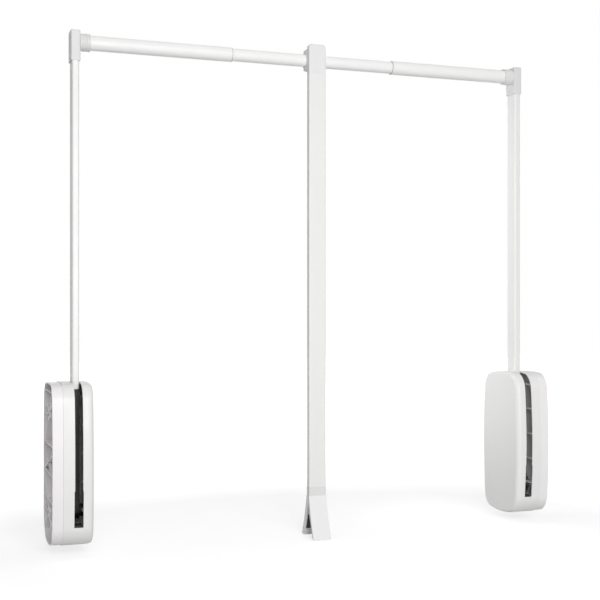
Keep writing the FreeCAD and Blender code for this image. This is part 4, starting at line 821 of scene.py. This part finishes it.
def head():
    """The head: a block with rounded top corners, and the front half of the clamp behind it."""
    sizes = tube_sizes()
    low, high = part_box("handle_head")
    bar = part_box("pull_bar")[1]
    bm = outline("Y", low.y, (low.x, bar.z), (high.x, high.z), (0, 0, sizes.head_corner, sizes.head_corner))
    pull(bm, bm.faces, Y * (bar.y - low.y))
    close_up(bm)
    rims = edges_of(faces_at(bm, Y, low.y) + faces_at(bm, Y, bar.y))
    soften(bm, rims - edges_of(faces_at(bm, Z, bar.z)), 0.9 * sizes.bar_corner, 6)
    clamp_low, clamp_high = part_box("handle_clamp_back")
    corner = (high.x, clamp_low.y - sizes.split, clamp_high.z)
    add_block(bm, (low.x, bar.y - 2 * MM, clamp_low.z), corner, 0.5 * MM)
    return bm


def clamp_back():
    """The back half of the clamp: half a ring round the tube, with two ears."""
    sizes = tube_sizes()
    low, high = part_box("handle_clamp_back")
    centre, tube = round_node("centre_tube")[2:]
    bore = tube + RUNNING_GAP
    bm = bmesh.new()
    add_ring(bm, centre, X, (low.x, high.x), (bore, sizes.ring_radius), 0.5 * MM, 64)
    close_up(bm)
    bmesh.ops.holes_fill(bm, edges=slice_through(bm, Y * low.y, Y, clear_inner=True))
    ear_start = bore + 0.6 * MM
    for near, far in ((low.z, centre.z - ear_start), (centre.z + ear_start, high.z)):
        add_block(bm, (low.x, low.y, near), (high.x, low.y + sizes.ear, far), BROKEN)
    return bm


def add_screw(bm, centre, seat, shank_end, top):
    """A screw that points forward: a pan head with a hexagon socket, and its shank."""
    sizes, rise = tube_sizes(), top - seat
    turn = Matrix.Rotation(math.radians(-90), 4, "X")
    # From the socket outwards and down to the seat: points, share of the head's radius, and place
    rings = ((6, 0.42, top), (24, 0.72, top), (24, 1.0, top - 0.35 * rise), (24, 1.0, seat))
    loops = []
    for points, share, place in rings:
        stand, radius = Matrix.Translation((centre[0], place, centre[1])) @ turn, share * sizes.screw_head
        verts = bmesh.ops.create_circle(bm, segments=points, radius=radius, matrix=stand)["verts"]
        loops.append({edge for vert in verts for edge in vert.link_edges})
    for first, second in zip(loops, loops[1:]):
        bmesh.ops.bridge_loops(bm, edges=list(first | second))
    sunk = bmesh.ops.extrude_edge_only(bm, edges=list(loops[0]))["geom"]
    bmesh.ops.translate(bm, verts=only(sunk, bmesh.types.BMVert), vec=-Y * 0.6 * rise)
    for rim in (only(sunk, bmesh.types.BMEdge), list(loops[-1])):
        bmesh.ops.holes_fill(bm, edges=rim)
    span = (shank_end, seat + 0.1 * MM)
    add_peg(bm, (centre[0], 0, centre[1]), Y, span, sizes.screw_shank, 0.2 * MM, 24)


def screws(node, seat, shares):
    """The screws of a node: one at either end of its width, at shares of the height between their heads."""
    low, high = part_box(node)
    radius = tube_sizes().screw_head
    bm = bmesh.new()
    for x in (low.x + radius, high.x - radius):
        for share in shares:
            z = low.z + radius + share * (high.z - low.z - 2 * radius)
            add_screw(bm, (x, z), seat, low.y, high.y)
    return bm


def grip_core():
    """The block between bar and legs, with the tongue that the legs close on."""
    sizes = tube_sizes()
    bar_low, bar_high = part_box("pull_bar")
    foot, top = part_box("grip_core")[0].z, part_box("grip_front_leg")[1].z
    bm = outline("Z", top, bar_low, bar_high, [sizes.bar_corner / 2] * 4)
    pull(bm, bm.faces, Z * (bar_low.z - top))
    close_up(bm)
    soften(bm, sharp_edges(bm), FINE)
    middle, half = middle_of("pull_bar").y, sizes.tongue - 0.1 * MM
    corner = (bar_low.x + sizes.leg_rim, middle - half, foot)
    add_block(bm, corner, (bar_high.x - sizes.leg_rim, middle + half, top + MM), 0.2 * MM)
    return bm


def leg_sides():
    """The outer and inner side of the front leg. Each starts and ends at a depth and a level."""
    sizes = tube_sizes()
    low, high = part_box("grip_front_leg")
    outer = ((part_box("pull_bar")[0].y, high.z), (low.y, low.z))
    parting = (middle_of("pull_bar").y - sizes.tongue, high.z - sizes.leg_start)
    return outer, (parting, (low.y + sizes.leg_foot, low.z))


def leg_depth(side, level):
    """The depth of a side of a leg at a level: an arc between its ends, straight above them."""
    (start, top), (end, foot) = side
    share, chord = min(1, max(0, (level - top) / (foot - top))), math.dist(*side)
    radius = tube_sizes().leg_curve
    rise = sag(radius, chord / 2) - sag(radius, (share - 0.5) * chord)
    return start + share * (end - start) + rise


def front_leg():
    """A leg of the grip before it is hollowed: a curved blade that flares forward."""
    low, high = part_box("grip_front_leg")
    outer, inner = leg_sides()
    bm = bmesh.new()
    bmesh.ops.create_grid(bm, x_segments=1, y_segments=18, size=0.5)
    for vert in bm.verts:
        level = low.z + (vert.co.y + 0.5) * (high.z - low.z)
        vert.co = (low.x, leg_depth(outer if vert.co.x < 0 else inner, level), level)
    pull(bm, bm.faces, X * (high.x - low.x))
    close_up(bm)
    feet = [
        edge for edge in bm.edges
        if all(vert.co.z < low.z + TINY for vert in edge.verts)
        and abs(edge.verts[0].co.x - edge.verts[1].co.x) < TINY
    ]
    soften(bm, feet, tube_sizes().leg_corner, 8)
    return bm


def hollow_leg(bm):
    """Sinks the hollow into a leg's inner side, down to its skin, and a dark pad into its floor: painted
    shade that darkens the hollow, drawn with a rubber finish.
    """
    sizes = tube_sizes()
    (outer, inner), foot = leg_sides(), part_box("grip_front_leg")[0].z
    inside = [
        face for face in bm.faces
        if face.normal.y > 0.5 and face.calc_center_median().z < inner[0][1] and len(face.verts) == 4
    ]
    inset(bm, inside, sizes.leg_rim)
    floor = pull(bm, inside, (0, 0, 0))
    for vert in {vert for face in floor for vert in face.verts}:
        vert.co.y = leg_depth(outer, vert.co.z) + sizes.leg_skin
    low, high = foot + sizes.pad_foot, foot + sizes.pad_top
    # The pad's faces take the dark second material: painted shade in the hollow.
    pad = [face for face in floor if low < face.calc_center_median().z < high]
    inset(bm, pad, sizes.pad_rim)
    for face in pull(bm, pad, -Y * sizes.pad_depth):
        face.material_index = 1
    bmesh.ops.recalc_face_normals(bm, faces=bm.faces)


def leg(back):
    """Either leg. The back one mirrors the front one across the bar's middle."""
    bm = front_leg()
    hollow_leg(bm)
    soften(bm, sharp_edges(bm, 60), 0.45 * MM, 3)
    if back:
        mirror(bm, Y, middle_of("pull_bar").y)
    return bm


# ---------------------------------------------------------------- operators

# The camera: place in metres, turn from straight ahead in degrees, focal length in millimetres, lens shift
CAMERA_PLACE, CAMERA_YAW = (-0.2012, -1.8175, 0.2609), -19.61
FOCAL_LENGTH, LENS_SHIFT = 64.02, 0.0096


class CLOSETROD_OT_camera(Operator):
    """Stand the camera to the left of the rod, low and far enough off to take in all of it"""

    bl_idname = "closet_rod.camera"
    bl_label = "Camera"

    def execute(self, context):
        lens = bpy.data.cameras.new("camera")
        lens.lens, lens.shift_y = FOCAL_LENGTH, LENS_SHIFT
        camera = bpy.data.objects.new("camera", lens)
        camera.location = CAMERA_PLACE
        camera.rotation_euler = (math.radians(90), 0, math.radians(CAMERA_YAW))
        context.scene.collection.objects.link(camera)
        context.scene.camera = camera
        return {"FINISHED"}


class CLOSETROD_OT_covers(Operator):
    """Make the smooth covers of the side boxes"""

    bl_idname = "closet_rod.covers"
    bl_label = "Covers"

    def execute(self, context):
        add_pair("cover", cover, finish(moulded_abs, "cover"), "cover_shell")
        return {"FINISHED"}


class CLOSETROD_OT_bases(Operator):
    """Make the ribbed bases of the side boxes"""

    bl_idname = "closet_rod.bases"
    bl_label = "Bases"

    def execute(self, context):
        add_pair("base", base, finish(moulded_abs, "base"), "base_housing")
        return {"FINISHED"}


class CLOSETROD_OT_springs(Operator):
    """Make the lift springs"""

    bl_idname = "closet_rod.springs"
    bl_label = "Lift springs"

    def execute(self, context):
        for piece in add_pair("spring", lift_spring, finish(spring_wire, "spring"), "lift_spring"):
            side = piece.name.split("_")[0]
            low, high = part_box(f"{side}_lift_spring")
            foot = middle_of(f"{side}_lift_spring")
            foot.z = low.z
            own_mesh(piece)
        return {"FINISHED"}


class CLOSETROD_OT_arms(Operator):
    """Make the arm tubes, with their brackets and caps"""

    bl_idname = "closet_rod.arms"
    bl_label = "Arms"

    def execute(self, context):
        add_pair("arm", arm_tube, finish(powder_coat, "powder"), "arm_tube")
        add_pair("bracket", bracket, finish(moulded_abs, "bracket"), "rod_bracket")
        add_pair("cap", cap, finish(moulded_abs, "cover"), "bracket_cap")
        return {"FINISHED"}


class CLOSETROD_OT_rod(Operator):
    """Make the telescopic hanging rod, with its collars and glides"""

    bl_idname = "closet_rod.rod"
    bl_label = "Hanging rod"

    def execute(self, context):
        coat = finish(powder_coat, "rod")
        add_piece("centre_rod", round_tube("centre_tube"), coat, "centre_tube")
        for side in SIDES:
            node = f"{side}_outer_tube"
            add_piece(f"{side}_rod", round_tube(node), coat, node)
            add_piece(f"{side}_glide", glide(side), finish(nylon, "nylon"), f"{side}_tube_glide")
        add_pair("collar", collar, finish(moulded_abs, "collar"), "rod_collar")
        return {"FINISHED"}


class CLOSETROD_OT_handle(Operator):
    """Make the pull bar, and the head and clamp that hang it from the rod"""

    bl_idname = "closet_rod.handle"
    bl_label = "Pull bar"

    def execute(self, context):
        sizes = tube_sizes()
        new_screws = screws("clamp_screws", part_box("handle_clamp_back")[0].y + sizes.ear, (0, 1))
        add_piece("bar", flat_tube("pull_bar", sizes.bar_corner), finish(powder_coat, "bar"), "pull_bar")
        add_piece("head", head(), finish(moulded_abs, "head"), "handle_head")
        add_piece("clamp", clamp_back(), finish(moulded_abs, "bracket"), "handle_clamp_back")
        add_piece("clamp_screws_new", new_screws, finish(plated_steel, "plated"), "clamp_screws")
        return {"FINISHED"}


class CLOSETROD_OT_grip(Operator):
    """Make the forked grip at the foot of the pull bar"""

    bl_idname = "closet_rod.grip"
    bl_label = "Grip"

    def execute(self, context):
        add_piece("grip_block", grip_core(), finish(moulded_abs, "grip_block"), "grip_core")
        for name, back in (("front", False), ("back", True)):
            blade = add_piece(f"grip_{name}", leg(back), finish(moulded_abs, "grip"), f"grip_{name}_leg")
            # The second material darkens the pads in the legs' hollows: painted shade, with a rubber finish.
            blade.data.materials.append(finish(moulded_rubber, "pad"))
        new_screws = screws("grip_screws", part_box("grip_screws")[1].y - tube_sizes().grip_screw, [0.5])
        add_piece("grip_screws_new", new_screws, finish(plated_steel, "plated"), "grip_screws")
        return {"FINISHED"}


class CLOSETROD_OT_works(Operator):
    """Finish the gears, castings, stops and pins that keep the frame's own shapes"""

    bl_idname = "closet_rod.works"
    bl_label = "Works"

    def execute(self, context):
        for name, piece in frame["nodes"].items():
            kind, part = SLOT_FINISHES[SLOTS[name]]
            piece.data.materials.clear()
            piece.data.materials.append(finish(kind, part))
        return {"FINISHED"}


class CLOSETROD_OT_stage(Operator):
    """Lay the pale floor, set the soft lamps and the white surroundings"""

    bl_idname = "closet_rod.stage"
    bl_label = "Stage"

    def execute(self, context):
        add_floor()
        add_lamps()
        add_surroundings()
        context.scene.view_settings.view_transform = "Standard"
        return {"FINISHED"}


# ---------------------------------------------------------------- stage

# The floor's half width, and its gap under the grip
FLOOR_REACH, FLOOR_GAP = 6.0, 0.5 * MM
# Where its fade to white starts and ends, and how white it is before
FADE, FLOOR_WHITE = (0.6, 1.3), 0.65
# Strength of the even light from all round
AMBIENT = 0.29


def seen_directly(tree):
    """A socket that is 1 where the camera, a reflection or a view through glass meets a surface."""
    rays = add_node(tree, "LightPath").outputs
    share = rays["Is Camera Ray"]
    for kind in ("Is Glossy Ray", "Is Transmission Ray"):
        share = add_node(tree, "Math", {0: share, 1: rays[kind]}, operation="MAXIMUM").outputs[0]
    return share


def add_floor():
    """A wide pale floor just under the grip, painted matt, that fades into the white surroundings."""
    bm = bmesh.new()
    bmesh.ops.create_grid(bm, x_segments=1, y_segments=1, size=FLOOR_REACH)
    mesh = bpy.data.meshes.new("floor")
    bm.to_mesh(mesh)
    bm.free()
    mesh.transform(Matrix.Translation((MIDDLE_X, 0, CAD_BOUNDS[0][2] - FLOOR_GAP)))
    material = bpy.data.materials.new("matt_paint_floor")
    material.use_nodes = True
    tree = material.node_tree
    tree.nodes.clear()
    paint = add_node(tree, "BsdfDiffuse", {"Color": (*bpy.context.scene.closet_rod_colours.floor, 1)})
    glow = add_node(tree, "Emission", {"Color": (1, 1, 1, 1)})
    place = add_node(tree, "TexCoord").outputs["Object"]
    # The white grows with the distance from the middle, faster towards the front and the back.
    shift = add_node(tree, "Mapping", {"Vector": place, "Location": (-MIDDLE_X, 0, 0), "Scale": (1, 1.5, 0)})
    away = add_node(tree, "VectorMath", {0: shift.outputs[0]}, operation="LENGTH").outputs["Value"]
    fade = {"Value": away, "From Min": FADE[0], "From Max": FADE[1], "To Min": FLOOR_WHITE, "To Max": 1.0}
    white = add_node(tree, "MapRange", fade).outputs["Result"]
    strength = add_node(tree, "Math", {0: seen_directly(tree), 1: white}, operation="MULTIPLY")
    tree.links.new(strength.outputs[0], glow.inputs["Strength"])
    both = add_node(tree, "AddShader", {0: paint.outputs[0], 1: glow.outputs[0]})
    add_node(tree, "OutputMaterial", {"Surface": both.outputs[0]})
    mesh.materials.append(material)
    floor = bpy.data.objects.new("floor", mesh)
    bpy.context.scene.collection.objects.link(floor)


# Each lamp: name, place, the point it faces, width and height in metres, power in watts, spread in degrees
LAMPS = [
    ("key", (0.0, -3.9, 1.5), (0.46, 0, 0.25), (2.6, 1.6), 67, 180),
    ("top", (0.5, -0.1, 2.6), (0.46, 0, 0.3), (1.8, 1.2), 5, 180),
    ("front", (0.22, -1.35, 0.3), (0.9, 0, 0.25), (0.3, 0.6), 5.2, 180),
    ("middle", (0.6, 0.16, 0.36), (0.9, 0, 0.3), (0.2, 0.8), 0.45, 110),
    ("back", (1.6, 3.6, 0.8), (0.46, 0, 0.3), (2.6, 1.2), 9, 180),
]


def add_lamps():
    """Soft lamps: large ones in front, above and behind, and two small ones for the right arm and box."""
    for name, place, aim, size, power, spread in LAMPS:
        light = bpy.data.lights.new(name, "AREA")
        light.shape = "RECTANGLE"
        light.size, light.size_y = size
        light.energy = power
        light.spread = math.radians(spread)
        lamp = bpy.data.objects.new(name, light)
        lamp.location = place
        lamp.rotation_euler = (Vector(aim) - Vector(place)).to_track_quat("-Z", "Y").to_euler()
        lamp.visible_camera = False
        bpy.context.scene.collection.objects.link(lamp)


def add_surroundings():
    """An even grey light from all round, seen as white."""
    world = bpy.data.worlds.new("surroundings")
    world.use_nodes = True
    tree = world.node_tree
    tree.nodes.clear()
    light = add_node(tree, "Background", {"Color": (1, 1, 1, 1), "Strength": AMBIENT})
    white = add_node(tree, "Background", {"Color": (1, 1, 1, 1), "Strength": 1.0})
    share = seen_directly(tree)
    both = add_node(tree, "MixShader", {0: share, 1: light.outputs[0], 2: white.outputs[0]})
    add_node(tree, "OutputWorld", {"Surface": both.outputs[0]})
    bpy.context.scene.world = world


# ---------------------------------------------------------------- panel and registration

OPERATORS = [
    CLOSETROD_OT_camera, CLOSETROD_OT_covers, CLOSETROD_OT_bases, CLOSETROD_OT_springs, CLOSETROD_OT_arms,
    CLOSETROD_OT_rod, CLOSETROD_OT_handle, CLOSETROD_OT_grip, CLOSETROD_OT_works, CLOSETROD_OT_stage,
]
GROUPS = {
    "closet_rod_box": ClosetRodBox,
    "closet_rod_tubes": ClosetRodTubes,
    "closet_rod_colours": ClosetRodColours,
}


class CLOSETROD_PT_panel(Panel):
    """The pieces of the closet rod, and their sizes and colours"""

    bl_idname = "CLOSETROD_PT_panel"
    bl_label = "Closet Rod"
    bl_space_type = "VIEW_3D"
    bl_region_type = "UI"
    bl_category = "Closet Rod"

    def draw(self, context):
        for operator in OPERATORS:
            self.layout.operator(operator.bl_idname)
        for name, group in GROUPS.items():
            box = self.layout.box()
            for part in group.__annotations__:
                box.prop(getattr(context.scene, name), part)


def register():
    for kind in [*GROUPS.values(), *OPERATORS, CLOSETROD_PT_panel]:
        bpy.utils.register_class(kind)
    for name, group in GROUPS.items():
        setattr(bpy.types.Scene, name, PointerProperty(type=group))


def unregister():
    for name in GROUPS:
        delattr(bpy.types.Scene, name)
    for kind in reversed([*GROUPS.values(), *OPERATORS, CLOSETROD_PT_panel]):
        bpy.utils.unregister_class(kind)


def main():
    register()
    for name in ("camera", "covers", "bases", "springs", "arms", "rod", "handle", "grip", "works", "stage"):
        getattr(bpy.ops.closet_rod, name)()


if __name__ == "__main__":
    main()
